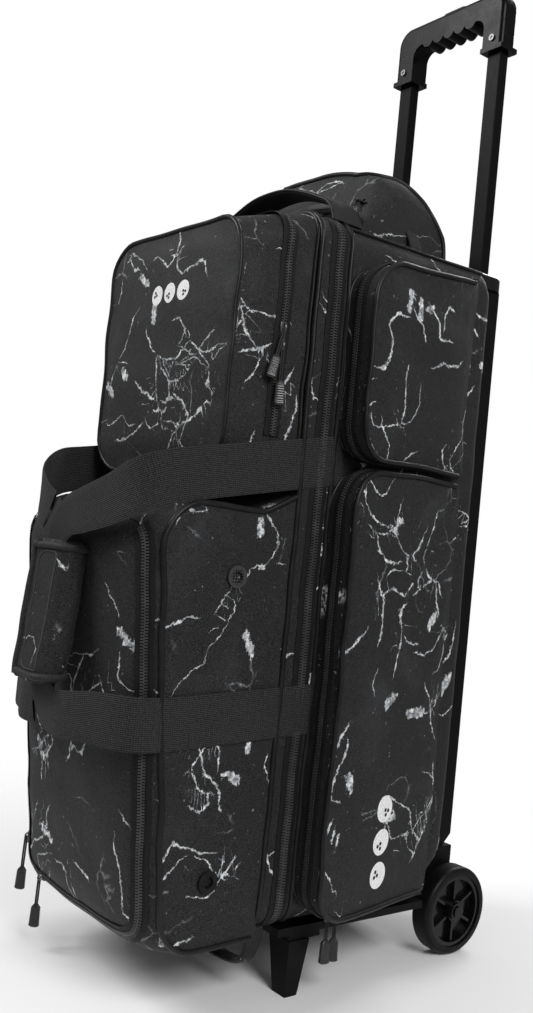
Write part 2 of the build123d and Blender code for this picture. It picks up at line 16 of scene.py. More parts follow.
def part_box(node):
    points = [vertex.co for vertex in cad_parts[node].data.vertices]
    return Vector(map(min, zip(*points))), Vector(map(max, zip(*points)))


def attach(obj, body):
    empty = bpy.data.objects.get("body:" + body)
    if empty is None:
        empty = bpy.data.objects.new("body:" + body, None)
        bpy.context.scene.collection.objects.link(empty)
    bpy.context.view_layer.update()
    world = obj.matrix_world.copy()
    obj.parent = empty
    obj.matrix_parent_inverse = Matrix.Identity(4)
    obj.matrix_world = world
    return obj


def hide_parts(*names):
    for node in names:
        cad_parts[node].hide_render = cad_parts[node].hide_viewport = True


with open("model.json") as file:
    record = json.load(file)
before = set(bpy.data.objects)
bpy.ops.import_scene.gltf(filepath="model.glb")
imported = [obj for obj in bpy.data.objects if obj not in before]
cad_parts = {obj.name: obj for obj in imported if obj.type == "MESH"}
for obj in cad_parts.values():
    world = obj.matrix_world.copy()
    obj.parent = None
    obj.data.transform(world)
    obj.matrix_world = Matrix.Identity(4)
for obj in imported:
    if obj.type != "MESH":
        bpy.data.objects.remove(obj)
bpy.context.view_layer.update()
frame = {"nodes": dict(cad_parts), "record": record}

MM = 0.001
SIDES = {"left": -1, "right": 1}
X, Y, Z = np.eye(3)

# ---- Driving dimensions, millimetres --------------------------------------------------------
BODY_HALF, BODY_LOW, BODY_HIGH, BODY_REAR, BODY_CORNER = 130.0, 70.0, 796.0, 195.6, 28.0
MAIN_ZIP_Y, LID_FRONT_Y = -45.2, -69.5
PIPE_R = 2.8
BALL_RADIUS = 108.0
SHOE_LOW, SHOE_HIGH, SHOE_FRONT_LOW, SHOE_FRONT_HIGH = 62.0, 493.0, -205.0, -248.0
SHOE_LEAN = (SHOE_FRONT_HIGH - SHOE_FRONT_LOW) / (SHOE_HIGH - SHOE_LOW)
SHOE_ZIP_X, SHOE_ZIP_DEPTH = 118.0, 10.0
UPPER_ZIP_Y = -105.2
POCKET_HEIGHTS = {"lower": (85.0, 540.0), "upper": (552.0, 758.0)}
POCKET_FRONT, POCKET_REAR, POCKET_FRONT_X, POCKET_REAR_X = -28.0, 160.0, 170.0, 136.0
WEB_WIDTH, WEB_GATHERED, WEB_THICK = 50.0, 40.0, 2.5
WEB_X = 131.2                           # middle of the webbing sewn to the sides
SEWN_RUNS = (((-45.5, 543), (-176, 519)), ((-45.5, 292), (-176, 284)))     # (y, z) of both ends


# ---- Materials ------------------------------------------------------------------------------
class Shader:
    """A node material; add() makes a node, with sockets or numbers for its named inputs."""

    def __init__(self, name):
        self.material = bpy.data.materials.new(name)
        self.material.use_nodes = True
        self.tree = self.material.node_tree
        self.bsdf = self.tree.nodes["Principled BSDF"]

    def add(self, kind, out=0, settings=(), **inputs):
        node = self.tree.nodes.new("ShaderNode" + kind)
        for key, value in dict(settings).items():
            setattr(node, key, value)
        for key, value in inputs.items():
            self.feed(node.inputs[int(key[1:]) if key[0] == "i" and key[1:].isdigit() else key], value)
        return node.outputs[out]

    def feed(self, socket, value):
        if isinstance(value, bpy.types.NodeSocket):
            self.tree.links.new(value, socket)
        else:
            socket.default_value = value

    def math(self, operation, a, b=0.0, clamp=False):
        return self.add("Math", settings={"operation": operation, "use_clamp": clamp}, i0=a, i1=b)

    def vector(self, operation, out=0, **inputs):
        return self.add("VectorMath", out=out, settings={"operation": operation}, **inputs)

    def place(self, offset=(0, 0, 0), stretch=(1, 1, 1)):
        """The piece's own coordinates in metres, moved and stretched."""
        where = self.add("TexCoord", out=3)
        return self.add("Mapping", Vector=where, Location=offset, Scale=stretch)

    def value(self, attribute):
        return self.add("Attribute", out=2, settings={"attribute_name": attribute})

    def noise(self, where, scale, detail=3.0, roughness=0.5, out=0):
        return self.add("TexNoise", out=out, Vector=where, Scale=scale, Detail=detail, Roughness=roughness)

    def ramp(self, value, low, high, at_low=0.0, at_high=1.0):
        return self.add("MapRange", settings={"interpolation_type": "SMOOTHSTEP"}, Value=value,
                        **{"From Min": low, "From Max": high, "To Min": at_low, "To Max": at_high})

    def mix(self, share, a, b):
        node = self.tree.nodes.new("ShaderNodeMix")
        node.data_type = "RGBA"
        self.feed(node.inputs[0], share)
        self.feed(node.inputs[6], a)
        self.feed(node.inputs[7], b)
        return node.outputs[2]

    def set(self, **inputs):
        for key, value in inputs.items():
            self.feed(self.bsdf.inputs[key.replace("_", " ")], value)

    def bump(self, height, distance, strength=1.0):
        normal = self.add("Bump", Height=height, Distance=distance, Strength=strength)
        self.feed(self.bsdf.inputs["Normal"], normal)


def grey(value, tint=(1, 1, 1)):
    return (value * tint[0], value * tint[1], value * tint[2], 1)


def cloth_finish(shader, where):
    """Woven polyester: fine grain, a little sheen and soft wrinkles."""
    grain = shader.noise(where, 1250.0, 2.0, 0.6)
    creases = shader.noise(where, 24.0, 4.0, 0.6)
    height = shader.math("ADD", shader.math("MULTIPLY", grain, 0.16), creases)
    shader.bump(height, 0.0022, 0.6)
    shader.set(Roughness=0.66, Sheen_Weight=0.03, Sheen_Roughness=0.4, Specular_IOR_Level=0.22)
    return grain


def vein_layer(shader, where, scale, width, keep_low, keep_high, keep_scale):
    """Thin cracks along the borders of a cell pattern, kept only where a slow noise is high."""
    cells = shader.add("TexVoronoi", settings={"feature": "DISTANCE_TO_EDGE"}, Vector=where, Scale=scale)
    line = shader.ramp(cells, 0.0, width, 1.0, 0.0)
    kept = shader.ramp(shader.noise(where, keep_scale, 2.0), keep_low, keep_high)
    return shader.math("MULTIPLY", line, kept), cells


def drawn_veins(shader, where):
    """The veins that print_marble() stored, made jagged, with uneven width."""
    slow, fast = shader.noise(where, 60.0, 2.0, 0.6), shader.noise(where, 300.0, 5.0, 0.78)
    shift = shader.math("ADD", shader.math("MULTIPLY", slow, 9.0), shader.math("MULTIPLY", fast, 7.5))
    swell = shader.ramp(shader.noise(where, 110.0, 3.0, 0.7), 0.34, 0.68, 0.25, 1.25)
    lines = []
    for number in (0, 1):
        size = shader.value(f"size_{number}")
        off = shader.math("ADD", shader.value(f"near_{number}"), shift)
        off = shader.math("ABSOLUTE", shader.math("SUBTRACT", off, 8.25))
        width = shader.math("MULTIPLY", size, swell)
        inner, outer = shader.math("MULTIPLY", width, 0.55), shader.math("ADD", width, 0.12)
        line = shader.ramp(off, inner, outer, 1.0, 0.0)
        lines.append(shader.math("MULTIPLY", line, shader.ramp(size, 0.05, 0.25)))
    return shader.math("MAXIMUM", *lines)


def drawn_patches(shader, where):
    """The feathered patches that print_marble() stored."""
    feather = shader.noise(where, 150.0, 5.0, 0.72)
    field = shader.math("ADD", shader.value("patch"), shader.math("MULTIPLY", feather, 2.4))
    inside = shader.ramp(shader.value("patch"), 0.02, 0.12)
    return shader.math("MULTIPLY", shader.ramp(field, 1.78, 1.98), inside)


def marble_cloth(name, offset, stretch=(1, 1, 1), amount=0.5):
    """Black cloth printed with jagged white veins, feathered patches and specks."""
    shader = Shader(name)
    drawn = shader.value("drawn")
    free = shader.math("SUBTRACT", 1.0, drawn)
    plain = shader.place()
    where = shader.place(offset, stretch)
    bend = shader.noise(where, 7.0, 2.0, out=1)
    jag = shader.noise(where, 45.0, 5.0, 0.65, out=1)
    bent = shader.vector("MULTIPLY_ADD", i0=bend, i1=(0.09, 0.09, 0.09), i2=where)
    bent = shader.vector("MULTIPLY_ADD", i0=jag, i1=(0.016, 0.016, 0.016), i2=bent)
    swell = shader.noise(where, 55.0, 3.0, 0.6)
    thickness = shader.ramp(swell, 0.42, 0.72, 0.006, 0.022)
    low = 0.52 - 0.1 * (amount - 0.5)
    main, cells = vein_layer(shader, bent, 7.5, thickness, low, low + 0.04, 6.0)
    fine, _ = vein_layer(shader, bent, 19.0, 0.022, low + 0.03, low + 0.08, 9.0)
    near = shader.ramp(cells, 0.02, 0.16, 1.0, 0.0)
    fine = shader.math("MULTIPLY", fine, near)
    blotch_where = shader.noise(where, 15.0, 1.0)
    feather = shader.noise(bent, 160.0, 4.0, 0.7)
    beside_vein = shader.ramp(cells, 0.03, 0.12, 1.0, 0.0)
    patch_area = shader.math("MULTIPLY", shader.ramp(blotch_where, 0.64, 0.70), beside_vein)
    patch = shader.math("MULTIPLY", patch_area, shader.ramp(feather, 0.44, 0.54))
    speck_field = shader.noise(where, 210.0, 1.0)
    round_vein = shader.ramp(cells, 0.0, 0.30, 0.8, 0.0)
    speck = shader.math("MULTIPLY", shader.ramp(speck_field, 0.735, 0.76), round_vein)
    rare = shader.ramp(free, 0.0, 1.0, 0.0, 1.0)
    some = shader.ramp(free, 0.0, 1.0, 0.3, 1.0)
    main = shader.math("MAXIMUM", shader.math("MULTIPLY", main, rare), drawn_veins(shader, plain))
    patch = shader.math("MAXIMUM", shader.math("MULTIPLY", patch, rare), drawn_patches(shader, plain))
    veins = shader.math("MAXIMUM", shader.math("MAXIMUM", main, shader.math("MULTIPLY", fine, some)),
                        shader.math("MAXIMUM", patch, shader.math("MULTIPLY", speck, some)), clamp=True)
    broken = shader.ramp(shader.noise(where, 130.0, 3.0, 0.7), 0.36, 0.56, 0.35, 1.0)
    veins = shader.math("MULTIPLY", veins, broken)
    smoke = shader.ramp(shader.noise(bent, 12.0, 4.0, 0.6), 0.52, 0.78, 0.0, 0.05)
    grain = cloth_finish(shader, plain)
    black = shader.mix(shader.ramp(grain, 0.42, 0.66), grey(0.003), grey(0.040, (0.97, 0.98, 1.05)))
    ink = shader.mix(shader.ramp(feather, 0.4, 0.62), grey(0.42, (0.86, 0.93, 1.0)), grey(0.82))
    colour = shader.mix(smoke, black, grey(0.30, (0.9, 0.95, 1.0)))
    shader.set(Base_Color=shader.mix(veins, colour, ink))
    return shader.material


def plain_cloth(name, low=0.006, high=0.018, scale=1100.0):
    shader = Shader(name)
    cloth_finish(shader, shader.place())
    shade = shader.noise(shader.place(), scale, 2.0)
    shader.set(Base_Color=shader.mix(shader.ramp(shade, 0.35, 0.65), grey(low), grey(high)))
    return shader.material


def ribbed_webbing(name, attribute="across", ribs_per_mm=0.55, low=0.003, high=0.046):
    """Webbing with fine ribs, their grooves painted darker as shade; the attribute holds millimetres across
    the band.
    """
    shader = Shader(name)
    across, along = shader.value(attribute), shader.value("along")
    rib = shader.math("SINE", shader.math("MULTIPLY", across, 2 * pi * ribs_per_mm))
    tick = shader.math("SINE", shader.math("MULTIPLY", along, 2 * pi * 0.42))
    height = shader.math("ADD", shader.math("MULTIPLY", rib, 0.5), shader.math("MULTIPLY", tick, 0.22))
    shader.bump(height, 0.0005, 0.8)
    fuzz = shader.noise(shader.place(), 700.0, 2.0)
    # Colour: random fuzz, plus painted shade that darkens the rib grooves where the bump is low.
    shade = shader.math("ADD", shader.math("MULTIPLY", height, 0.45), fuzz)
    shader.set(Base_Color=shader.mix(shader.ramp(shade, 0.1, 1.0), grey(low), grey(high)), Roughness=0.72,
               Sheen_Weight=0.04, Sheen_Roughness=0.5, Specular_IOR_Level=0.16)
    return shader.material


def moulded(name, colour=0.008, roughness=0.35, bump=0.00008, grain_scale=900.0, coat=0.0, shine=0.2):
    """Moulded plastic with a fine texture and faint handling marks."""
    shader = Shader(name)
    where = shader.place()
    shader.bump(shader.noise(where, grain_scale, 3.0), bump, 0.5)
    marks = shader.noise(where, 40.0, 5.0, 0.7)
    shader.set(Base_Color=shader.mix(shader.ramp(marks, 0.4, 0.7), grey(colour), grey(colour * 1.5)),
               Roughness=shader.ramp(marks, 0.35, 0.75, roughness, roughness + 0.14), Coat_Weight=coat,
               Coat_Roughness=0.12, Specular_IOR_Level=shine)
    return shader.material


def metal(name, colour, roughness, metallic=1.0, stretch=(1, 1, 0.04)):
    """Drawn or plated metal with fine lines along its length."""
    shader = Shader(name)
    lines = shader.noise(shader.place(stretch=stretch), 1600.0, 3.0)
    shader.bump(lines, 0.00004, 0.4)
    shader.set(Base_Color=grey(colour), Metallic=metallic, Specular_IOR_Level=0.06,
               Roughness=shader.ramp(lines, 0.3, 0.7, roughness, roughness + 0.12))
    return shader.material


def vent_plastic():
    """The upper vents are grey and the lower ones black; both have faint worn marks."""
    shader = Shader("vent_plastic")
    where = shader.place()
    height = shader.add("SeparateXYZ", out=2, Vector=where)
    marks = shader.noise(where, 300.0, 3.0)
    shader.bump(marks, 0.0001, 0.5)
    # Darker towards the bottom: the vents below 0.30 m are black, those above grey.
    shade = shader.mix(shader.ramp(height, 0.3, 0.32), grey(0.006), grey(0.045))
    low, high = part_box("vents_right")
    radius = (high.y - low.y) / 2
    rings = []
    for z in (low.z + radius, high.z - radius):
        off = shader.vector("SUBTRACT", i0=where, i1=(0, (low.y + high.y) / 2, z))
        off = shader.vector("MULTIPLY", i0=off, i1=(0, 1, 1))
        rings.append(shader.vector("LENGTH", out=1, i0=off))
    away = shader.math("MINIMUM", *rings)
    flat = shader.vector("MULTIPLY", i0=where, i1=(0, 1, 1))
    # The vent holes are not cut: they are painted near-black, painted shade for the dark inside them.
    grid = shader.add("TexVoronoi", Vector=flat, Scale=360.0, Randomness=0.15)
    hole = shader.math("MULTIPLY", shader.ramp(grid, 0.3, 0.4, 1.0, 0.0),
                       shader.ramp(away, radius * 0.68, radius * 0.74, 1.0, 0.0))
    shade = shader.mix(hole, shade, grey(0.001))
    worn = shader.mix(shader.ramp(marks, 0.4, 0.7, 0.0, 0.3), shade, grey(0.03))
    shader.set(Base_Color=worn, Roughness=0.45, Specular_IOR_Level=0.12)
    return shader.material


def foam(name):
    shader = Shader(name)
    cells = shader.add("TexVoronoi", Vector=shader.place(), Scale=700.0)
    shader.bump(cells, 0.0005, 0.6)
    shader.set(Base_Color=shader.mix(cells, grey(0.010), grey(0.032)), Roughness=0.85)
    return shader.material


def print_ink(name):
    shader = Shader(name)
    wear = shader.noise(shader.place(), 600.0, 3.0)
    shader.bump(wear, 0.0002, 0.5)
    shader.set(Base_Color=shader.mix(shader.ramp(wear, 0.3, 0.6), grey(0.62), grey(0.85)), Roughness=0.5)
    return shader.material


MARBLE_FRONT = marble_cloth("marble_front", (0.31, 0.2, 0.13), amount=0.5)
MARBLE_UPPER = marble_cloth("marble_upper", (1.7, 0.4, 0.66), amount=0.6)
MARBLE_BODY = marble_cloth("marble_body", (2.4, 1.1, 0.37), amount=0.4)
MARBLE_POCKET = marble_cloth("marble_pocket", (0.9, 2.2, 1.81), amount=0.6)
LINING = plain_cloth("lining")
PIPING = moulded("piping_vinyl", 0.009, 0.33, 0.0001, 500.0)
BINDING = plain_cloth("binding_cloth", 0.010, 0.034, 800.0)
BAND_CLOTH = plain_cloth("band_cloth", 0.008, 0.024)
WEBBING = ribbed_webbing("carry_webbing")
TAPE = plain_cloth("zip_tape", 0.002, 0.009, 900.0)
# The coil is coloured lighter than the tape: a painted highlight for the shine on its ribs.
TEETH = moulded("zip_coil", 0.040, 0.28, 0.00003)
SLIDER = metal("slider_paint", 0.10, 0.24, 0.7, (1, 1, 1))
PULL_CORD = plain_cloth("pull_cord", 0.010, 0.030, 1500.0)
PULL_TIP = moulded("pull_tip", 0.018, 0.22, coat=0.4)
THREAD = plain_cloth("thread", 0.03, 0.07, 2000.0)
INK = print_ink("printed_ink")
FOAM = foam("padding_foam")


# ---- Curves and outlines --------------------------------------------------------------------
def unit(vectors):
    vectors = np.asarray(vectors, float)
    return vectors / np.maximum(np.linalg.norm(vectors, axis=-1, keepdims=True), 1e-9)


def outline(corners, edges, arc=6):
    """Closed line round (u, v, radius) corners: an arc at each, then evenly spaced points on."""
    spots = np.array([c[:2] for c in corners], float)
    bends = []
    for number, (_, _, radius) in enumerate(corners):
        here = spots[number]
        back = unit(spots[number - 1] - here)
        on = unit(spots[(number + 1) % len(spots)] - here)
        half = acos(np.clip(back @ on, -1, 1)) / 2
        reach = max(radius, 0.4) / tan(half)
        centre = here + unit(back + on) * max(radius, 0.4) / sin(half)
        turn, a, b = pi - 2 * half, here + back * reach - centre, here + on * reach - centre
        shares = np.linspace(0, 1, arc + 1)
        bends.append([centre + (sin((1 - s) * turn) * a + sin(s * turn) * b) / sin(turn) for s in shares])
    line = []
    for number, bend in enumerate(bends):
        line += bend
        start, end = bend[-1], bends[(number + 1) % len(bends)][0]
        line += [start + (end - start) * step / edges[number] for step in range(1, edges[number])]
    return np.array(line)


def in_plane(flat, u, v, origin=(0, 0, 0)):
    """Puts 2-D points into space along the directions u and v."""
    flat = np.asarray(flat)
    return np.asarray(origin) + flat[:, :1] * u + flat[:, 1:2] * v


def mirrored(*right):
    """An arch from the points of its right half, the last of them in the middle."""
    return [(-x, z) for x, z in right[:-1]] + list(reversed(right))


def smooth_path(points, spacing=4.0, closed=False):
    """Even points along a smooth line through the given ones."""
    points = np.asarray(points, float)
    count = len(points)
    fine = []
    for i in range(count if closed else count - 1):
        if closed:
            a, b, c, d = (points[(i + k) % count] for k in (-1, 0, 1, 2))
        else:
            a, b, c, d = (points[min(max(i + k, 0), count - 1)] for k in (-1, 0, 1, 2))
        for s in np.linspace(0, 1, 12, endpoint=False):
            fine.append(0.5 * (2 * b + (c - a) * s + (2 * a - 5 * b + 4 * c - d) * s ** 2
                               + (3 * b - a - 3 * c + d) * s ** 3))
    if not closed:
        fine.append(points[-1])
    return resample(fine, spacing, closed)


def resample(points, spacing, closed=False):
    points = np.asarray(points, float)
    line = np.vstack([points, points[:1]]) if closed else points
    run = np.concatenate([[0], np.cumsum(np.linalg.norm(np.diff(line, axis=0), axis=1))])
    steps = max(int(round(run[-1] / spacing)), 2)
    at = np.linspace(0, run[-1], steps + 1)
    if closed:
        at = at[:-1]
    return np.column_stack([np.interp(at, run, line[:, k]) for k in range(line.shape[1])])


def tangents(points, closed=False):
    points = np.asarray(points, float)
    if closed:
        return unit(np.roll(points, -1, axis=0) - np.roll(points, 1, axis=0))
    return unit(np.gradient(points, axis=0))


WAVES = np.random.default_rng(7).normal(size=(10, 3))
PHASES = np.random.default_rng(8).uniform(0, 2 * pi, size=(10, 3))


def sag(points, amount=1.0, size=95.0):
    """Moves points by a slow field, the same for everything that lies near them."""
    points = np.asarray(points, float)
    moved = np.zeros_like(points)
    for wave, phase in zip(WAVES, PHASES):
        angle = (points @ wave)[:, None] * (2 * pi / size / 1.7) + phase
        moved += np.sin(angle)
    return points + moved * amount / 3.2


# ---- Marble print ---------------------------------------------------------------------------
# Each panel's veins and feathered patches are grown from a seed, inside its bounds.
FACING = {"side": 0, "front": 1}            # the axis that a panel looks along
VEIN_AREA, PATCH_AREA = 2600.0, 12000.0     # mm2 of panel for each vein and each patch
VEIN_HALF_WIDTH, PATCH_HALF_WIDTH = (0.7, 1.9), (3.5, 7.0)
VEIN_STEP, VEIN_BENDS = (11.0, 27.0), (2, 7)
VEIN_TURN = 0.65                            # spread of each bend, in radians
PATCH_FROM = 2.5                            # half width at which a line is a patch


def grown_veins(seed, low, high):
    """Lines of a marble print in a flat region: half width, then the places along the line."""
    random = np.random.default_rng(seed)
    area = float(np.prod(high - low))
    veins = (ceil(area / VEIN_AREA), VEIN_HALF_WIDTH, VEIN_BENDS)
    patches = (int(area / PATCH_AREA), PATCH_HALF_WIDTH, (1, 2))
    lines = []
    for count, widths, bends in (veins, patches):
        for _ in range(count):
            heading = random.normal(-pi / 2, 0.8)
            line = [random.uniform(low, high)]
            for _ in range(random.integers(*bends)):
                heading += random.normal(0, VEIN_TURN)
                line.append(line[-1] + random.uniform(*VEIN_STEP) * np.array([cos(heading), sin(heading)]))
            lines.append((random.uniform(*widths), *line))
    return lines


def line_reach(places, line):
    """Signed distance of each place from a bent line, and where along it the nearest point is, 0 to 1."""
    line = np.asarray(line, float)
    run = np.concatenate([[0], np.cumsum(np.linalg.norm(np.diff(line, axis=0), axis=1))])
    reach, share = np.full(len(places), 1e3), np.zeros(len(places))
    for number in range(len(line) - 1):
        step = line[number + 1] - line[number]
        part = np.clip((places - line[number]) @ step / (step @ step), 0, 1)
        gap = places - line[number] - part[:, None] * step
        far = np.linalg.norm(gap, axis=1) * np.where(step[0] * gap[:, 1] < step[1] * gap[:, 0], -1, 1)
        nearer = np.abs(far) < np.abs(reach)
        reach[nearer] = far[nearer]
        share[nearer] = ((run[number] + part * (run[number + 1] - run[number])) / run[-1])[nearer]
    return reach, share


def print_marble(obj, *panels):
    """Stores at each point how near the panel's veins are; neighbours are kept in separate sets."""
    count = len(obj.data.vertices)
    spots, normals = np.empty(count * 3), np.empty(count * 3)
    obj.data.vertices.foreach_get("co", spots)
    obj.data.vertex_normals.foreach_get("vector", normals)
    spots, normals = spots.reshape(-1, 3) / MM, normals.reshape(-1, 3)
    fields = {key: np.zeros(count) for key in ("near_0", "size_0", "near_1", "size_1", "patch", "drawn")}
    for panel in panels:
        axis = FACING[panel]
        facing = np.abs(normals[:, 0]) if axis == 0 else -normals[:, 1]
        faces = np.clip((facing - 0.35) / 0.25, 0, 1)
        places = spots[:, [k for k in range(3) if k != axis]]
        region = places[faces > 0]
        if not len(region):
            continue
        lines = grown_veins(sum(map(ord, obj.name + panel)), region.min(axis=0), region.max(axis=0))
        nearest = [np.full(count, 1e3), np.full(count, 1e3)]
        second = [np.full(count, 1e3), np.full(count, 1e3)]
        near, size = [np.zeros(count), np.zeros(count)], [np.zeros(count), np.zeros(count)]
        for number, (width, *line) in enumerate(lines):
            reach, share = line_reach(places, line)
            if width >= PATCH_FROM:
                blot = np.clip(1.5 - np.abs(reach) / width, 0, 1) * faces
                fields["patch"] = np.maximum(fields["patch"], blot)
                continue
            kind, away = number % 2, np.abs(reach)
            closer = away < nearest[kind]
            second[kind] = np.where(closer, nearest[kind], np.minimum(second[kind], away))
            taper = np.clip(7 * np.minimum(share, 1 - share), 0, 1) ** 0.6
            near[kind][closer], nearest[kind][closer] = reach[closer], away[closer]
            size[kind][closer] = (width * taper)[closer]
        for kind in (0, 1):
            fade = np.clip((15 - nearest[kind]) / 5, 0, 1)
            fade *= np.clip((second[kind] - nearest[kind]) / 5, 0, 1)
            use = faces > 0
            fields[f"near_{kind}"][use] = near[kind][use]
            fields[f"size_{kind}"][use] = (size[kind] * fade * faces)[use]
        fields["drawn"] = np.maximum(fields["drawn"], faces)
    for label, values in fields.items():
        stored = obj.data.attributes.new(label, "FLOAT", "POINT").data
        stored.foreach_set("value", values.astype(np.float32))


# ---- Mesh pieces ----------------------------------------------------------------------------
class Mesh:
    """Collects millimetre points and faces, then becomes one piece."""

    def __init__(self):
        self.points, self.faces, self.across, self.along = [], [], [], []

    def add(self, points, faces, across=None, along=None):
        first = len(self.points)
        self.points += [tuple(p) for p in points]
        self.faces += [tuple(first + i for i in face) for face in faces]
        self.across += list(across) if across is not None else [0.0] * len(points)
        self.along += list(along) if along is not None else [0.0] * len(points)
        return self

    def loft(self, rings, closed=True, ends=(False, False), across=None, along=None):
        """Skin over rings of equal count; an end is filled with one face."""
        rings = [np.asarray(r, float) for r in rings]
        n, faces = len(rings[0]), []
        for r in range(len(rings) - 1):
            for i in range(n if closed else n - 1):
                j = (i + 1) % n
                faces.append((r * n + i, r * n + j, (r + 1) * n + j, (r + 1) * n + i))
        if ends[0]:
            faces.append(tuple(reversed(range(n))))
        if ends[1]:
            faces.append(tuple((len(rings) - 1) * n + i for i in range(n)))
        return self.add(np.vstack(rings), faces, across, along)

    def tube(self, path, radius, closed=False, sides=8):
        """Round piping or cord along a path."""
        path, t = np.asarray(path, float), tangents(path, closed)
        up = unit(np.cross(t[0], Z if abs(t[0] @ Z) < 0.9 else X))
        normals = []
        for direction in t:
            up = unit(up - direction * (up @ direction))
            normals.append(up)
        normals = np.array(normals)
        sides_at = [np.cross(t, normals) * sin(a) + normals * cos(a)
                    for a in np.linspace(0, 2 * pi, sides, endpoint=False)]
        rings = np.array([path + radius * s for s in sides_at]).transpose(1, 0, 2)
        if closed:
            rings = np.vstack([rings, rings[:1]])
        self.loft(rings, True, (not closed, not closed))
        return self

    def band(self, path, across, width, thick, spacing_across=8):
        """Flat band with soft edges; across is the direction of its width at each point."""
        path, across = np.asarray(path, float), unit(across)
        t = tangents(path)
        across = unit(across - t * np.sum(across * t, axis=1, keepdims=True))
        normals = np.cross(t, across)
        half, edge = np.broadcast_to(np.asarray(width, float) / 2, len(path)), thick / 2
        shares = np.linspace(-1, 1, spacing_across + 1)
        top = [(s, edge * (1 - 0.6 * max(0, abs(s) - 0.9) / 0.1)) for s in shares]
        section = top + [(s, -h) for s, h in reversed(top)]
        rings = [path + across * (half * s)[:, None] + normals * h for s, h in section]
        rings = np.array(rings).transpose(1, 0, 2)
        run = np.concatenate([[0], np.cumsum(np.linalg.norm(np.diff(path, axis=0), axis=1))])
        across_mm = np.tile([s * half[0] for s, _ in section], len(path))
        return self.loft(rings, True, (True, True), across_mm, np.repeat(run, len(section)))

    def piece(self, name, body, material, slot, inner=None, angle=50):
        mesh = bpy.data.meshes.new(name)
        mesh.from_pydata((np.array(self.points) * MM).tolist(), [], self.faces)
        for label, values in (("across", self.across), ("along", self.along)):
            if any(values):
                stored = mesh.attributes.new(label, "FLOAT", "POINT").data
                stored.foreach_set("value", np.array(values, np.float32))
        mesh.update()
        obj = bpy.data.objects.new(name, mesh)
        bpy.context.scene.collection.objects.link(obj)
        clean(obj)
        obj.data.shade_smooth()
        obj.data.set_sharp_from_angle(angle=radians(angle))
        obj.data.materials.append(material)
        if inner:
            obj.data.materials.append(inner)
        if body:
            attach(obj, body)
        return obj


def clean(obj):
    """Merges doubled points and makes every face look outward."""
    work = bmesh.new()
    work.from_mesh(obj.data)
    bmesh.ops.remove_doubles(work, verts=work.verts, dist=0.02 * MM)
    bmesh.ops.dissolve_degenerate(work, edges=work.edges, dist=0.01 * MM)
    bmesh.ops.recalc_face_normals(work, faces=work.faces)
    work.to_mesh(obj.data)
    work.free()


def bake_modifiers(obj):
    """Keeps what the modifiers show as the piece's own mesh."""
    shown = obj.evaluated_get(bpy.context.evaluated_depsgraph_get())
    mesh = bpy.data.meshes.new_from_object(shown)
    obj.modifiers.clear()
    obj.data = mesh


def thicken(obj, wall, angle=50):
    """Gives an open skin its wall, inward, lined with the second material."""
    solid = obj.modifiers.new("wall", "SOLIDIFY")
    solid.thickness, solid.offset = wall * MM, -1
    solid.use_even_offset = True
    solid.material_offset = 1
    bake_modifiers(obj)
    obj.data.shade_smooth()
    obj.data.set_sharp_from_angle(angle=radians(angle))


def crown(ring, direction, height, steps=9, power=3.0, pucker=0.0, seed=1):
    """Rings from a panel's edge in to its middle, raised into a crowned form."""
    ring, direction = np.asarray(ring, float), unit(direction)
    centre = ring.mean(axis=0)
    flat = ring - centre
    across = unit(np.cross(direction, Z if abs(direction @ Z) < 0.9 else X))
    upward = np.cross(direction, across)
    reach_u, reach_v = np.abs(flat @ across).max(), np.abs(flat @ upward).max()
    random = np.random.default_rng(seed)
    ripple = sum(np.sin(np.linspace(0, 2 * pi, len(ring), endpoint=False) * k + random.uniform(0, 6))
                 for k in (9, 14, 23)) / 3
    rings = []
    for share in np.linspace(0, 0.97, steps) ** 0.85:
        scale = 1 - share
        at = flat * scale
        u, v = np.abs(at @ across) / reach_u, np.abs(at @ upward) / reach_v
        rise = height * (1 - u ** power) * (1 - v ** power) * min(1, share * 6)
        fold = pucker * ripple * np.exp(-((share - 0.09) / 0.07) ** 2)
        rings.append(centre + at + np.outer(rise + fold, direction))
    return rings


def cut(obj, point, normal, keep_positive):
    """Cuts an open skin with a plane and keeps one side."""
    work = bmesh.new()
    work.from_mesh(obj.data)
    everything = list(work.verts) + list(work.edges) + list(work.faces)
    bmesh.ops.bisect_plane(work, geom=everything, plane_co=Vector(point) * MM, plane_no=Vector(normal),
                           clear_inner=keep_positive, clear_outer=not keep_positive)
    work.to_mesh(obj.data)
    work.free()
    return obj


def rim(obj):
    """The open edge of a skin as ordered points in millimetres, with the skin's normals there."""
    work = bmesh.new()
    work.from_mesh(obj.data)
    work.normal_update()
    edges = [e for e in work.edges if e.is_boundary]
    links = {}
    for e in edges:
        for a, b in (e.verts, reversed(e.verts)):
            links.setdefault(a, []).append(b)
    here = min(links, key=lambda v: (v.co.z, v.co.x))
    start, before, path = here, None, []
    while True:
        path.append(here)
        following = [v for v in links[here] if v is not before]
        before, here = here, following[0]
        if here is start or len(path) > len(links):
            break
    points = np.array([v.co[:] for v in path]) / MM
    normals = np.array([v.normal[:] for v in path])
    work.free()
    return points, normals


# ---- Zippers --------------------------------------------------------------------------------
ZIP_LINES = {}


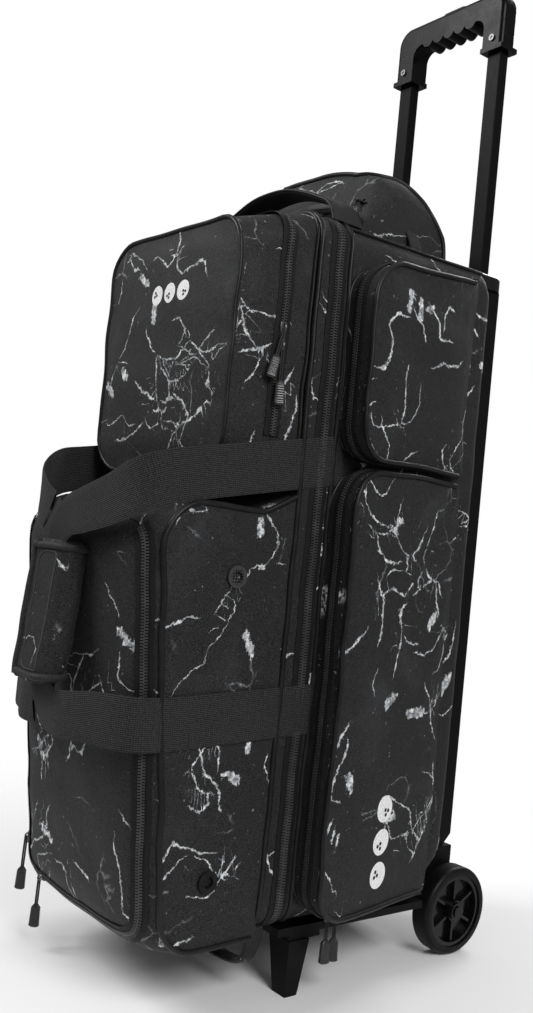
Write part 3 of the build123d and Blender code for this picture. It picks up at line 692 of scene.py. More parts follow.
def zipper(name, path, normals, halves, closed=False, coil=2.9, tape=8.5, lift=0.9, pitch=2.8):
    """Tape and coil on each side of a line; halves are (suffix, body, which side)."""
    path, normals = np.asarray(path, float), unit(normals)
    t = tangents(path, closed)
    ZIP_LINES[name] = path, normals, t
    across = unit(np.cross(normals, t))
    for suffix, body, side in halves:
        tape_mesh, teeth = Mesh(), Mesh()
        middle = path + across * side * (tape / 2 + 0.9) + normals * (lift - 0.2)
        ribbon, flat = middle, across
        if closed:
            ribbon, flat = np.vstack([middle, middle[:1]]), np.vstack([across, across[:1]])
        tape_mesh.band(ribbon, flat, tape, 0.9, spacing_across=4)
        run = np.concatenate([[0], np.cumsum(np.linalg.norm(np.diff(path, axis=0), axis=1))])
        at = np.arange(pitch / 2 + (pitch / 2 if side > 0 else 0), run[-1], pitch)
        spot = [np.column_stack([np.interp(at, run, a[:, k]) for k in range(3)])
                for a in (path, normals, across, t)]
        for p, n, a, d in zip(*spot):
            low, high = -0.7 * side, (0.7 + coil) * side
            near = p + a * low + n * lift
            far = p + a * high + n * lift
            w, h = d * pitch * 0.34, n * 1.5
            corners = [near - w, near + w, far + w, far - w]
            top = [c + h * (0.75 if k < 2 else 1.0) - (w if k in (1, 2) else -w) * 0.3
                   for k, c in enumerate(corners)]
            teeth.add(corners + top, [(0, 1, 2, 3), (4, 7, 6, 5), (0, 4, 5, 1), (1, 5, 6, 2), (2, 6, 7, 3),
                                      (3, 7, 4, 0)])
        tape_mesh.piece(f"{name}_tape_{suffix}", body, TAPE, "marble_cloth")
        teeth.piece(f"{name}_coil_{suffix}", body, TEETH, "marble_cloth", angle=25)


def pipe(name, path, body, radius=PIPE_R, closed=False, slot="marble_cloth", material=None):
    return Mesh().tube(path, radius, closed).piece(name, body, material or PIPING, slot, angle=80)


# ---- Ball bay -------------------------------------------------------------------------------
def body_ring(y, inset=0.0, low=0.0, high=0.0):
    """The body's outline seen from the front, at one depth."""
    half, corner = BODY_HALF - inset, max(BODY_CORNER - inset, 6)
    bottom, top = BODY_LOW + low, BODY_HIGH - high
    corners = [(-half, bottom, corner), (half, bottom, corner), (half, top, corner), (-half, top, corner)]
    return in_plane(outline(corners, (30, 100, 30, 100)), X, Z, (0, y, 0))


def ball_bay():
    rear_round, heel, shoulder = 14.0, 44.0, 14.0
    depths = list(np.linspace(MAIN_ZIP_Y + 0.6, BODY_REAR - heel, 24)) + list(
        np.linspace(BODY_REAR - heel, BODY_REAR, 9)[1:])
    rings = []
    for y in depths:
        past = max(0.0, y - (BODY_REAR - rear_round))
        inset = rear_round - sqrt(max(rear_round ** 2 - past ** 2, 0))
        low, high = (max(0, y - (BODY_REAR - slant)) + inset * 0.3 for slant in (heel, shoulder))
        rings.append(body_ring(y, min(inset, rear_round - 1) * 0.8, low, high))
    rings += crown(rings[-1], Y, 0.0, 6)[1:]
    shell = Mesh().loft([sag(r, 0.5) for r in rings], ends=(False, True))
    obj = shell.piece("bay_shell", "bag", MARBLE_BODY, "marble_cloth", LINING)
    thicken(obj, 5.4)
    print_marble(obj, "side")
    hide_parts("ball_bay")


def lid_shell():
    depths = np.linspace(MAIN_ZIP_Y - 0.6, LID_FRONT_Y, 4)
    rings = [body_ring(y) for y in depths]
    rings.append(body_ring(LID_FRONT_Y - 0.4, 2.5, 2.5, 2.5))
    rings += crown(rings[-1], -Y, 0.0, 6)[1:]
    obj = Mesh().loft([sag(r, 0.5) for r in rings], ends=(False, True)).piece(
        "lid_shell", "lid", MARBLE_BODY, "marble_cloth", LINING)
    thicken(obj, 4.5)
    print_marble(obj, "side")
    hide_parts("lid_band")


def outward(ring):
    """Directions out of a closed ring, in its own plane."""
    centre = ring.mean(axis=0)
    t = tangents(ring, True)
    plane_normal = unit(np.cross(t[0], t[len(t) // 4]))
    out = np.cross(t, plane_normal)
    return out * np.sign(np.sum(out * (ring - centre), axis=1))[:, None]


def main_zipper():
    """Round three sides; the lid's left side is the hinge."""
    ring = body_ring(MAIN_ZIP_Y)
    gap = np.argmin(np.abs(ring[:, 0] + BODY_HALF) + np.abs(ring[:, 2] - 430))
    ring = np.roll(ring, -gap, axis=0)
    out = outward(ring)
    keep = ring[:, 0] > -BODY_HALF + 16
    path, out = ring[keep], out[keep]
    path = resample(np.hstack([sag(path, 0.5), out]), 6.0)
    zipper("main_zip", path[:, :3], path[:, 3:], (("bag", "bag", 1), ("lid", "lid", -1)), coil=4.0, tape=10)
    for label, y, body in (("bag", -29.0, "bag"), ("lid", LID_FRONT_Y - 0.2, "lid")):
        line = sag(body_ring(y, -0.6, -0.6, -0.6), 0.5)
        pipe(f"body_piping_{label}", line, body, closed=True)


def body_details():
    """Piping along the body's top edges and the ribbed tab beside the top pocket."""
    reach = BODY_HALF - BODY_CORNER * (1 - sqrt(0.5))
    for name, sign in SIDES.items():
        edge = [(sign * (reach + 0.8), y, BODY_HIGH + 0.8 - BODY_CORNER * (1 - sqrt(0.5)))
                for y in np.linspace(-29, BODY_REAR - 16, 30)]
        pipe(f"body_edge_piping_{name}", sag(edge, 0.5), "bag", 2.2)
    tab = [(110.5, 70, 812), (115, 71, 805), (118.5, 72, 796), (119, 72.5, 789), (116.5, 73, 784)]
    loop = smooth_path(tab, 2.0)
    Mesh().band(loop, np.tile(Y, (len(loop), 1)), 17, 3.2, spacing_across=8).piece(
        "side_tab", "bag", WEBBING, "webbing")


# ---- Upper compartment ----------------------------------------------------------------------
UPPER_BASE = ((-124, 508, 26), (124, 508, 26), (124, 796, 24), (-124, 796, 24))
UPPER_FACE = ((-120, 519, 46), (120, 519, 46), (120, 772, 34), (-120, 772, 34))
UPPER_BACK_Y, UPPER_FACE_Y = -69.8, -162.0


def upper_ring(y, bulge=1.6):
    share = (UPPER_BACK_Y - y) / (UPPER_BACK_Y - UPPER_FACE_Y)
    corners = [tuple(a + (b - a) * share for a, b in zip(base, face))
               for base, face in zip(UPPER_BASE, UPPER_FACE)]
    ring = in_plane(outline(corners, (38, 40, 38, 40)), X, Z, (0, y, 0))
    return ring + outward(ring) * bulge * sin(pi * share)


def upper_compartment():
    """Accessory pocket: the gusset on the lid, the swinging front, its zipper and piping."""
    gusset = [upper_ring(y) for y in np.linspace(UPPER_BACK_Y, UPPER_ZIP_Y + 0.5, 7)]
    box = Mesh().loft([sag(r) for r in gusset]).piece(
        "upper_gusset", "lid", MARBLE_UPPER, "marble_cloth", LINING)
    thicken(box, 2.6)
    print_marble(box, "side")
    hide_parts("upper_box")
    face = [upper_ring(y) for y in np.linspace(UPPER_ZIP_Y - 0.5, UPPER_FACE_Y, 11)]
    face += crown(face[-1], -Y, 7.5, 22, 3.2, 0.8, 3)[1:]
    door = Mesh().loft([sag(r) for r in face], ends=(False, True)).piece(
        "upper_front", "upper_door", MARBLE_UPPER, "marble_cloth", LINING)
    thicken(door, 2.6)
    print_marble(door, "side", "front")
    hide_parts("upper_door")
    emblem("upper_emblem", "upper_door", door, (12, 0, 704), (25, 0), 10.5)
    pipe("upper_piping_front", sag(upper_ring(UPPER_FACE_Y, 1.2) + outward(upper_ring(UPPER_FACE_Y)) * 0.8),
         "upper_door", closed=True, radius=2.4)
    pipe("upper_piping_rear", sag(upper_ring(UPPER_BACK_Y - 1, 0) + outward(upper_ring(UPPER_BACK_Y)) * 0.8),
         "lid", closed=True)
    ring = upper_ring(UPPER_ZIP_Y)
    start = int(np.argmin(ring[:, 2] + np.abs(ring[:, 0])))
    ring, out = np.roll(ring, -start, axis=0), np.roll(outward(ring), -start, axis=0)
    keep = ring[:, 2] > 560
    line = resample(np.hstack([sag(ring[keep]), out[keep]]), 6.0)
    zipper("upper_zip", line[:, :3], line[:, 3:], (("lid", "lid", 1), ("door", "upper_door", -1)))


# ---- Shoe compartment -----------------------------------------------------------------------
def shoe_drop(x):
    """How far the front stands back at x from its middle line."""
    return SHOE_ZIP_DEPTH * (abs(x) / SHOE_ZIP_X) ** 8.5


def shoe_ring(x):
    """Side view outline at x, in (y, z)."""
    drop = shoe_drop(x)
    ends = 0.30 * max(0.0, drop - 2)
    low, high, rear = SHOE_LOW + ends, SHOE_HIGH - ends * 0.4, LID_FRONT_Y - 0.4
    radius = 45 - 0.25 * drop
    front_low, front_high = SHOE_FRONT_LOW + drop, SHOE_FRONT_HIGH + drop
    corners = [(rear, low, 1), (front_low, low, radius), (front_high, high - 4, radius), (-108, high - 3, 20),
               (rear, high + 15, 2)]
    flat = outline(corners, (16, 54, 14, 6, 54), arc=8)
    bulge = 5.0 * (1 - min(abs(x) / SHOE_ZIP_X, 1) ** 2)
    height = np.clip((flat[:, 1] - SHOE_LOW) / (SHOE_HIGH - SHOE_LOW), 0, 1)
    front = np.clip((-flat[:, 0] - 150) / 60, 0, 1)
    flat[:, 0] -= bulge * np.sin(pi * height) * front
    return in_plane(flat, Y, Z, (x, 0, 0))


def shoe_skin(name):
    xs = BODY_HALF * np.sin(np.linspace(-pi / 2, pi / 2, 55))
    rings = [shoe_ring(x) for x in xs]
    start = crown(rings[0], -X, -1.2, 22)[1:]
    end = crown(rings[-1], X, -1.2, 22)[1:]
    rings = list(reversed(start)) + rings + end
    return Mesh().loft([sag(r) for r in rings], ends=(True, True)).piece(
        name, None, MARBLE_FRONT, "marble_cloth", LINING)


def shoe_compartment():
    point = (0, SHOE_FRONT_LOW + SHOE_ZIP_DEPTH, SHOE_LOW)
    normal = (0, -1, SHOE_LEAN)
    box = cut(shoe_skin("shoe_body"), point, normal, False)
    flap = cut(shoe_skin("shoe_front"), (0, point[1] - 0.5, point[2]), normal, True)
    line, out = rim(flap)
    for obj, node, body in ((box, "shoe_box", "lid"), (flap, "shoe_flap", "shoe_flap")):
        thicken(obj, 3.0)
        print_marble(obj, "side", "front")
        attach(obj, body)
        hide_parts(node)
    top = int(np.argmax(line[:, 2] - np.abs(line[:, 0]) * 0.1))
    line, out = np.roll(line, -top, axis=0), np.roll(out, -top, axis=0)
    keep = line[:, 2] < 462
    path = resample(np.hstack([line[keep], out[keep]]), 6.0)
    side = np.sign(np.cross(path[len(path) // 2, 3:], tangents(path[:, :3])[len(path) // 2]) @ -Y)
    zipper("shoe_zip", path[:, :3], path[:, 3:], (("flap", "shoe_flap", side), ("box", "lid", -side)))
    for name, sign in SIDES.items():
        edge = shoe_ring(sign * (BODY_HALF - 1.0)) + X * sign * 1.2
        keep = edge[:, 1] < LID_FRONT_Y - 2
        pipe(f"shoe_piping_{name}", sag(edge)[keep], "lid")


# ---- Side pockets ---------------------------------------------------------------------------
def pocket_x(y, share):
    """Distance out at y, from the body (0) to the outer panel (1)."""
    forward = (POCKET_REAR - y) / (POCKET_REAR - POCKET_FRONT)
    outer = POCKET_REAR_X + forward * (POCKET_FRONT_X - POCKET_REAR_X)
    return BODY_HALF + share * (outer - BODY_HALF)


def pocket_ring(level, sign, share, grow=0.0):
    low, high = POCKET_HEIGHTS[level]
    corners = [(POCKET_REAR, low - grow, 4), (POCKET_FRONT - grow, low - grow, 38),
               (POCKET_FRONT - grow, high + grow, 44), (POCKET_REAR, high + grow, 4)]
    tall = 66 if level == "lower" else 26
    flat = outline(corners, (28, tall, 28, tall), arc=8)
    if level == "upper":
        back = (flat[:, 0] - POCKET_FRONT) / (POCKET_REAR - POCKET_FRONT)
        flat[:, 1] += (20 * back - 7) * np.clip((flat[:, 1] - low) / (high - low), 0, 1) ** 2
    return np.column_stack([sign * pocket_x(flat[:, 0], share), flat])


def side_pocket(level, side):
    """Gusset, swinging panel, zipper and piping of one side pocket."""
    sign = SIDES[side]
    name = f"{level}_{side}"
    lean = unit(np.array([sign * (POCKET_REAR - POCKET_FRONT), POCKET_FRONT_X - POCKET_REAR_X, 0]))
    shares = np.linspace(0, 1, 9)
    rings = [pocket_ring(level, sign, s, 1.3 * sin(pi * s)) for s in shares]
    rings += crown(rings[-1], lean, 4.5, 20, 3.0, 0.6, 11 if level == "lower" else 12)[1:]

    def skin(label):
        return Mesh().loft([sag(r) for r in rings], ends=(False, True)).piece(
            label, None, MARBLE_POCKET, "marble_cloth", LINING)

    middle = (sign * pocket_x(POCKET_FRONT, 0.5), POCKET_FRONT, 0)
    along = np.array([sign * (pocket_x(POCKET_REAR, 0.5) - pocket_x(POCKET_FRONT, 0.5)),
                      POCKET_REAR - POCKET_FRONT, 0])
    across = unit(np.cross(along, Z)) * sign
    inner = cut(skin(f"pocket_gusset_{name}"), middle, across, False)
    outer = cut(skin(f"pocket_panel_{name}"), np.array(middle) + across * 0.4, across, True)
    line, out = rim(outer)
    body = f"side_door_{name}"
    for obj, node, rides in ((inner, f"side_pocket_{name}", "bag"), (outer, body, body)):
        thicken(obj, 2.6)
        print_marble(obj, "side")
        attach(obj, rides)
        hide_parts(node)
    rear = int(np.argmax(line[:, 1]))
    line, out = np.roll(line, -rear, axis=0), np.roll(out, -rear, axis=0)
    keep = line[:, 1] < POCKET_REAR - 6
    first = int(np.argmax(~keep))
    order = np.roll(np.arange(len(line)), -first)
    order = order[keep[order]]
    path = resample(np.hstack([line[order], out[order]]), 6.0)
    half = len(path) // 2
    facing = np.sign(np.cross(path[half, 3:], tangents(path[:, :3])[half]) @ (X * sign))
    halves = (("panel", body, facing), ("gusset", "bag", -facing))
    zipper(f"pocket_zip_{name}", path[:, :3], path[:, 3:], halves, tape=7.0, coil=2.2)
    if name == "lower_right":
        emblem("pocket_emblem", body, outer, (0, 66, 155), (0, 35), 14)
    face_edge = pocket_ring(level, sign, 1.0) + lean * 0.8
    base_edge = pocket_ring(level, sign, 0.0, 1.0) + X * sign * 1.6
    for label, edge, rides, radius in (("", face_edge, body, PIPE_R), ("base_", base_edge, "bag", 1.9)):
        keep = edge[:, 1] < POCKET_REAR - 7
        order = np.roll(np.arange(len(edge)), -int(np.argmax(~keep)))
        pipe(f"pocket_{label}piping_{name}", sag(edge[order[keep[order]]]), rides, radius)


# ---- Top pocket and grab bands --------------------------------------------------------------
TOP_PROFILE = ((-4, 792), (-2, 806), (3, 822), (8, 838), (14, 855), (21, 871), (30, 886), (45, 890.5),
               (62, 892), (80, 887), (95, 878), (108, 861), (118, 842), (122, 820), (124, 792))
TOP_HALF = 112.0


def top_height(x):
    """Share of the full height the pocket keeps at x; it slopes down to the right."""
    slope = 1 - (0.31 * (x / TOP_HALF) ** 1.7 if x > 0 else 0.04 * (x / TOP_HALF) ** 2)
    return slope * (1 - (min(abs(x), TOP_HALF) / 114.0) ** 16) ** (1 / 4.2)


def top_line(x):
    line = smooth_path(TOP_PROFILE, 5.5)
    height = line[:, 1] - 796
    shrink = np.where(height > 0, top_height(x), 1.0)
    return np.column_stack([np.full(len(line), x), line[:, 0], 796 + height * shrink])


def top_pocket():
    xs = TOP_HALF * np.sin(np.linspace(-pi / 2, pi / 2, 37))
    rings = [top_line(x) for x in xs]
    shell = Mesh().loft([sag(r) for r in rings], closed=False, ends=(True, True))
    obj = shell.piece("top_pocket_shell", "bag", MARBLE_POCKET, "marble_cloth", LINING)
    thicken(obj, 3.0)
    print_marble(obj, "front", "side")
    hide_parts("top_pocket")
    path = []
    for x in xs:
        line = top_line(x)
        back = 30 + 88 * max(0.0, (abs(x) - 66) / (TOP_HALF - 66)) ** 2
        path.append(line[len(line) // 3 + np.argmin(np.abs(line[len(line) // 3:, 1] - back))])
    foot = [line[line[:, 1] > 118] for line in (top_line(-TOP_HALF + 0.5), top_line(TOP_HALF - 0.5))]
    path = smooth_path(np.vstack([foot[0][::-1][:-1], path[2:-2], foot[1][1:]]), 5.0)
    out = unit(path - np.array([0, 60, 820]))
    pipe("top_piping", sag(path + out * 0.8), "bag")
    zip_xs = np.linspace(-98, 98, 40)
    line = []
    for x in zip_xs:
        upright = top_line(x)
        line.append(upright[np.argmin(np.abs(upright[:, 2] - (817 + 21 * top_height(x))))])
    line = np.array(line)
    out = np.tile(unit(np.array([0, -15, 6.5])), (len(line), 1))
    zipper("top_zip", sag(line), out, (("lower", "bag", 1), ("upper", "bag", -1)), tape=8)
    seam = np.array([[x, -4.5, 797.5] for x in np.linspace(-110, 110, 40)])
    pipe("top_pocket_seam", sag(seam), "bag", radius=1.8)


def grab_band(name, node, body, spots, y, width, thick, material, slot):
    """Padded band along an arch, with its cloth folded under at the edges."""
    path = smooth_path([(x, y, z) for x, z in spots], 5.0)
    t = tangents(path)
    normals = np.cross(np.tile(Y, (len(path), 1)), t)
    normals *= np.sign(normals[len(path) // 2] @ Z)
    section = []
    for angle in np.linspace(0, 2 * pi, 20, endpoint=False):
        c, s = cos(angle), sin(angle)
        section.append((np.sign(c) * abs(c) ** 0.5 * width / 2, np.sign(s) * abs(s) ** 0.8 * thick / 2))
    share = np.linspace(-1, 1, len(path))
    swell = 1 - 0.45 * np.abs(share) ** 6
    rings = np.array([path + Y * u + normals * (v * swell)[:, None] for u, v in section]).transpose(1, 0, 2)
    obj = Mesh().loft([sag(r, 0.7) for r in rings], ends=(True, True)).piece(name, body, material, slot)
    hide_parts(node)
    for label, sign in (("front", -1), ("rear", 1)):
        edge = path + Y * sign * (width / 2 - 0.4) + normals * 0.4
        pipe(f"{name}_edge_{label}", sag(edge, 0.7), body, 1.5, material=PIPING, slot=slot)


def grab_bands():
    arch = mirrored((114, 796), (110, 808), (101, 818), (85, 826), (58, 836), (28, 843.5), (0, 845.5))
    grab_band("top_grab", "top_handle", "bag", arch, -25, 38, 7.5, BAND_CLOTH, "handle_cloth")
    under = mirrored((118, 73), (113, 52), (102, 35), (70, 27), (0, 25.5))
    grab_band("bottom_grab", "bottom_handle", "lid", under, -60.5, 17, 6, MARBLE_BODY, "marble_cloth")


# ---- Carry webbing and wrap -----------------------------------------------------------------
def web(spots, tilts):
    """Webbing through points; tilt turns its width from upright towards its run."""
    path = smooth_path(spots, 6.0)
    run = np.concatenate([[0], np.cumsum(np.linalg.norm(np.diff(spots, axis=0), axis=1))])
    fine = np.concatenate([[0], np.cumsum(np.linalg.norm(np.diff(path, axis=0), axis=1))])
    tilt = np.radians(np.interp(fine / fine[-1], run / run[-1], tilts))
    t = tangents(path)
    flat = unit(t * np.array([1, 1, 0]) + np.array([-1e-4, 0, 0]))
    across = Z * np.cos(tilt)[:, None] + flat * np.sin(tilt)[:, None]
    width = WEB_WIDTH - (WEB_WIDTH - WEB_GATHERED) * np.abs(np.sin(tilt))
    return Mesh().band(path, across, width, WEB_THICK, spacing_across=12)


def sewn_webbing():
    """Webbing on the sides: runs on the lid, and roots beyond the zipper on the bag."""
    for side, sign in SIDES.items():
        runs, roots = Mesh(), Mesh()
        for (y0, z0), (y1, z1) in SEWN_RUNS:
            slope = (z1 - z0) / (y1 - y0)
            start = y0 if sign > 0 else y0 - 8
            path = resample([(sign * WEB_X, start, z0 + slope * (start - y0)), (sign * WEB_X, y1, z1)], 8.0)
            runs.band(path, np.tile(Z, (len(path), 1)), WEB_WIDTH, WEB_THICK, spacing_across=12)
            start = y0 + (0.5 if sign > 0 else 7.5)
            root = resample([(sign * WEB_X, start, z0 + slope * (start - y0)),
                             (sign * WEB_X, -17, z0 + slope * (-17 - y0))], 7.0)
            roots.band(root, np.tile(Z, (len(root), 1)), WEB_WIDTH, WEB_THICK, spacing_across=12)
        obj = runs.piece(f"webbing_runs_{side}", "lid", WEBBING, "webbing")
        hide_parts(f"sewn_webbing_{side}")
        roots.piece(f"webbing_roots_{side}", "bag", WEBBING, "webbing")


def carry_loop(side, layer_y):
    """Free webbing of one side, meeting inside the wrap at the depth layer_y."""
    sign = SIDES[side]
    upper = [(WEB_X, -176, 519), (WEB_X, -216, 511), (128, -238, 504), (114, -253, 494), (86, -260, 482),
             (52, layer_y, 472), (22, layer_y, 464), (3, layer_y, 442), (0, layer_y, 400), (0, layer_y, 371)]
    lower = [(WEB_X, -176, 284), (WEB_X, -210, 283), (127, -231, 283), (112, -244, 283), (84, -254, 282),
             (50, layer_y, 279), (22, layer_y, 279), (3, layer_y, 301), (0, layer_y, 340), (0, layer_y, 370)]
    both = Mesh()
    if side == "left":
        upper[1:6] = [(126, -197, 515), (111, -217, 508), (90, -236, 499), (66, -252, 489),
                      (43, layer_y, 476)]
        lower[1:5] = [(131.4, -200, 283), (129, -219, 283), (117, -232, 283), (88, -242, 282)]
    upper_tilts = (0, 0, 0, 5, 15, 35, 60, 90, 90, 90)
    lower_tilts = (0, 0, 0, 0, -10, -35, -60, -90, -90, -90)
    for spots, tilts in ((upper, upper_tilts), (lower, lower_tilts)):
        strip = web(np.array(spots, float) * np.array([sign, 1, 1]), sign * np.array(tilts))
        both.add(strip.points, strip.faces, strip.across, strip.along)
    obj = both.piece(f"carry_webbing_{side}", f"carry_{side}", WEBBING, "webbing")
    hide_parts(f"carry_loop_{side}")


def wrap():
    """Padded wrap: a soft sleeve with bound ends and a bound front edge."""
    low, high, lean = 303.0, 440.0, 0.09

    def middle(z):
        return -261.5 + lean * (z - (low + high) / 2)

    rings = []
    for z in np.linspace(low, high, 22):
        share = (z - low) / (high - low) * 2 - 1
        round_end = sqrt(max(0.0, 1 - max(0, abs(share) - 0.86) ** 2 / 0.0196 * 0.35))
        half_x, half_y = 33.0 * round_end, 15.6 * round_end
        corners = [(-half_x, -half_y, 13), (half_x, -half_y, 13), (half_x, half_y, 13), (-half_x, half_y, 13)]
        rings.append(in_plane(outline(corners, (16, 5, 16, 5), arc=7), X, Y, (0, middle(z), z)))
    hollow = []
    for z in np.linspace(high, low, 10):
        corners = [(-25, -7, 5), (25, -7, 5), (25, 7, 5), (-25, 7, 5)]
        hollow.append(in_plane(outline(corners, (16, 5, 16, 5), arc=7), X, Y, (0, middle(z), z)))
    obj = Mesh().loft([sag(r, 0.8, 60) for r in rings + hollow + rings[:1]]).piece(
        "handle_wrap_pad", "carry_right", MARBLE_FRONT, "marble_cloth")
    print_marble(obj, "front")
    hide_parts("handle_wrap")
    for label, number in (("lower", 1), ("upper", -2)):
        edge = rings[number] + outward(rings[number]) * 0.3
        pipe(f"wrap_binding_{label}", sag(edge, 0.8, 60), "carry_right", 3.6, True, material=BINDING)
    turn = [(0, 10), (3, 3), (9, 0)]
    corner = [(-24 + u, high - 4 - v) for u, v in reversed(turn)] + [(-24 + u, low + 4 + v) for u, v in turn]
    edge = np.array([(x, middle(z) - 15.6, z) for x, z in corner])
    pipe("wrap_binding_edge", sag(smooth_path(edge, 4.0), 0.8, 60), "carry_right", 3.4, material=BINDING)
    inner = [(-13, 325), (-10, 318), (-2, 315), (22, 315), (22, 428), (-2, 428), (-10, 425), (-13, 418)]
    seam = np.array([(x, middle(z) - 15.8, z) for x, z in inner])
    pipe("wrap_seam", sag(resample(seam, 5.0, True), 0.8, 60), "carry_right", 0.7, True, material=THREAD)


# ---- Sliders and pulls ----------------------------------------------------------------------
def seat(zip_name, node, drop):
    """Place, outward direction and run of the zipper beside a CAD slider."""
    low, high = (np.array(c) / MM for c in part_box(node))
    target = np.array([(low[0] + high[0]) / 2, (low[1] + high[1]) / 2, high[2] - 6 - drop])
    path, normals, run = ZIP_LINES[zip_name]
    nearest = int(np.argmin(np.linalg.norm(path - target, axis=1)))
    along = run[nearest] * (1 if run[nearest] @ np.array([0.3, 0.2, 1]) > 0 else -1)
    return path[nearest], normals[nearest], along, low[2]


def slider_metal(at, out, along):
    """Shield-shaped slider with an arched bridge for the pull."""
    across = unit(np.cross(along, out))
    mesh = Mesh()
    shape = outline(((-3.2, -6.2, 1.6), (3.2, -6.2, 1.6), (4.5, 1.2, 2), (3.9, 6, 1.8), (-3.9, 6, 1.8),
                     (-4.5, 1.2, 2)), (2, 3, 2, 3, 2, 3), arc=3)
    rings = [in_plane(shape * s, across, along, at + out * h)
             for h, s in ((0.8, 0.94), (1.2, 1.0), (3.0, 1.0), (3.5, 0.93), (3.7, 0.8))]
    mesh.loft(rings, ends=(True, True))
    arch = mirrored((4.4, 3.2), (3.9, 4.7), (2.2, 5.9), (0, 6.3))
    mesh.tube(smooth_path([at + along * u + out * h for u, h in arch], 1.0), 0.95)
    return mesh


def cord_and_tip(top, hang, out, length):
    """Two strands of cord through the bridge, gathered in a ribbed moulded tip."""
    side = unit(np.cross(hang, out))
    tip_long = 24.0
    neck = length - tip_long
    loop = mirrored((1.0, neck + 1), (1.05, neck * 0.55), (1.0, 4.0), (0.75, 0.5), (0, -1.1))
    cord = Mesh().tube(smooth_path([top + side * u + hang * w for u, w in loop], 1.2), 1.0)
    rings = []
    for w in np.linspace(0, tip_long, 61):
        share = w / tip_long
        body = min(1.0, 0.55 + share * 3, 0.62 + (1 - share) * 6)
        rib = 0.30 * (0.5 + 0.5 * cos(2 * pi * w / 2.4)) if 0.14 < share < 0.9 else 0.0
        wide, thick = (4.9 + 0.7 * share) * body - rib, 2.7 * body - rib
        corners = [(-wide, -thick, 1.4), (wide, -thick, 1.4), (wide, thick, 1.4), (-wide, thick, 1.4)]
        rings.append(in_plane(outline(corners, (2, 1, 2, 1), arc=3), side, out, top + hang * (neck + w)))
    return cord, Mesh().loft(rings, ends=(True, True))


def slider(zip_name, node, face, pull_node=None, lean=0.0, drop=0.0):
    """Slider on its zipper; face is where the flat side of the hanging pull looks."""
    at, out, along, bottom = seat(zip_name, node, drop)
    bottom -= drop
    metal_piece = slider_metal(at, out, along).piece(f"{node}_shell", node, SLIDER, "zip_metal", angle=35)
    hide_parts(node)
    if pull_node:
        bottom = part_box(pull_node)[0].z / MM
    top = at + out * 5.2
    hang = unit(np.array([0, -sin(radians(lean)), -cos(radians(lean))]) + out * np.array([0.03, 0.03, 0]))
    face = unit(face)
    face = unit(face - hang * (face @ hang))
    cord, tip = cord_and_tip(top, hang, face, top[2] - bottom)
    cord.piece(f"{node}_cord", pull_node or node, PULL_CORD, "zip_metal", angle=80)
    tip_piece = tip.piece(f"{node}_tip", pull_node or node, PULL_TIP, "zip_metal", angle=60)
    if pull_node:
        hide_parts(pull_node)


def sliders():
    for name, lean in (("high", 15.0), ("low", 0.0)):
        node = f"upper_slider_{name}"
        slider("upper_zip", node, (0.9, -0.45, 0), f"upper_pull_{name}", lean)
    for node, drop in (("shoe_slider_bottom", -4.0), ("shoe_slider_side", 12.0)):
        slider("shoe_zip", node, (0.75, -0.65, 0), drop=drop)
    for side, sign in SIDES.items():
        for number, turn in (("front", -0.3), ("rear", -0.7)):
            node = f"pocket_slider_{number}_{side}"
            slider(f"pocket_zip_lower_{side}", node, (sign, turn, 0))
    slider("top_zip", "top_slider", (0.3, -0.9, 0))


# ---- Emblems --------------------------------------------------------------------------------
def emblem(name, body, panel, middle, step, radius):
    """Three balls with finger holes, printed on a panel; laid on it by looking for its surface."""
    facing = -Y if body == "upper_door" else X
    u, v = (X, Z) if body == "upper_door" else (Y, Z)
    mesh = Mesh()

    def lay(flat, lift):
        laid = []
        for a, b in flat:
            start = np.array(middle) * (1 - np.abs(facing)) + u * a + v * b + facing * 400
            _, place, normal, _ = panel.ray_cast(Vector(start * MM), Vector(-facing))
            laid.append(np.array(place) / MM + np.array(normal) * lift)
        return laid

    angles = np.linspace(0, 2 * pi, 40, endpoint=False)
    circle = np.column_stack([np.cos(angles), np.sin(angles)])
    holes = Mesh()
    for number in (-1, 0, 1):
        centre = np.array(step) * number
        disc = [lay(centre + circle * r, 0.35) for r in np.linspace(radius, radius * 0.04, 8)]
        mesh.loft(disc, ends=(False, True))
        for turn, away in ((65, 0.48), (115, 0.48), (90, 0.12)):
            rolled = radians(turn + 150 + 75 * number)
            hole = centre + radius * away * np.array([cos(rolled), sin(rolled)])
            holes.loft([lay(hole + circle[::4] * r, 0.6) for r in (radius * 0.15, radius * 0.04)],
                       ends=(False, True))
    mesh.piece(name, body, INK, "marble_cloth")
    holes.piece(f"{name}_holes", body, LINING, "marble_cloth")


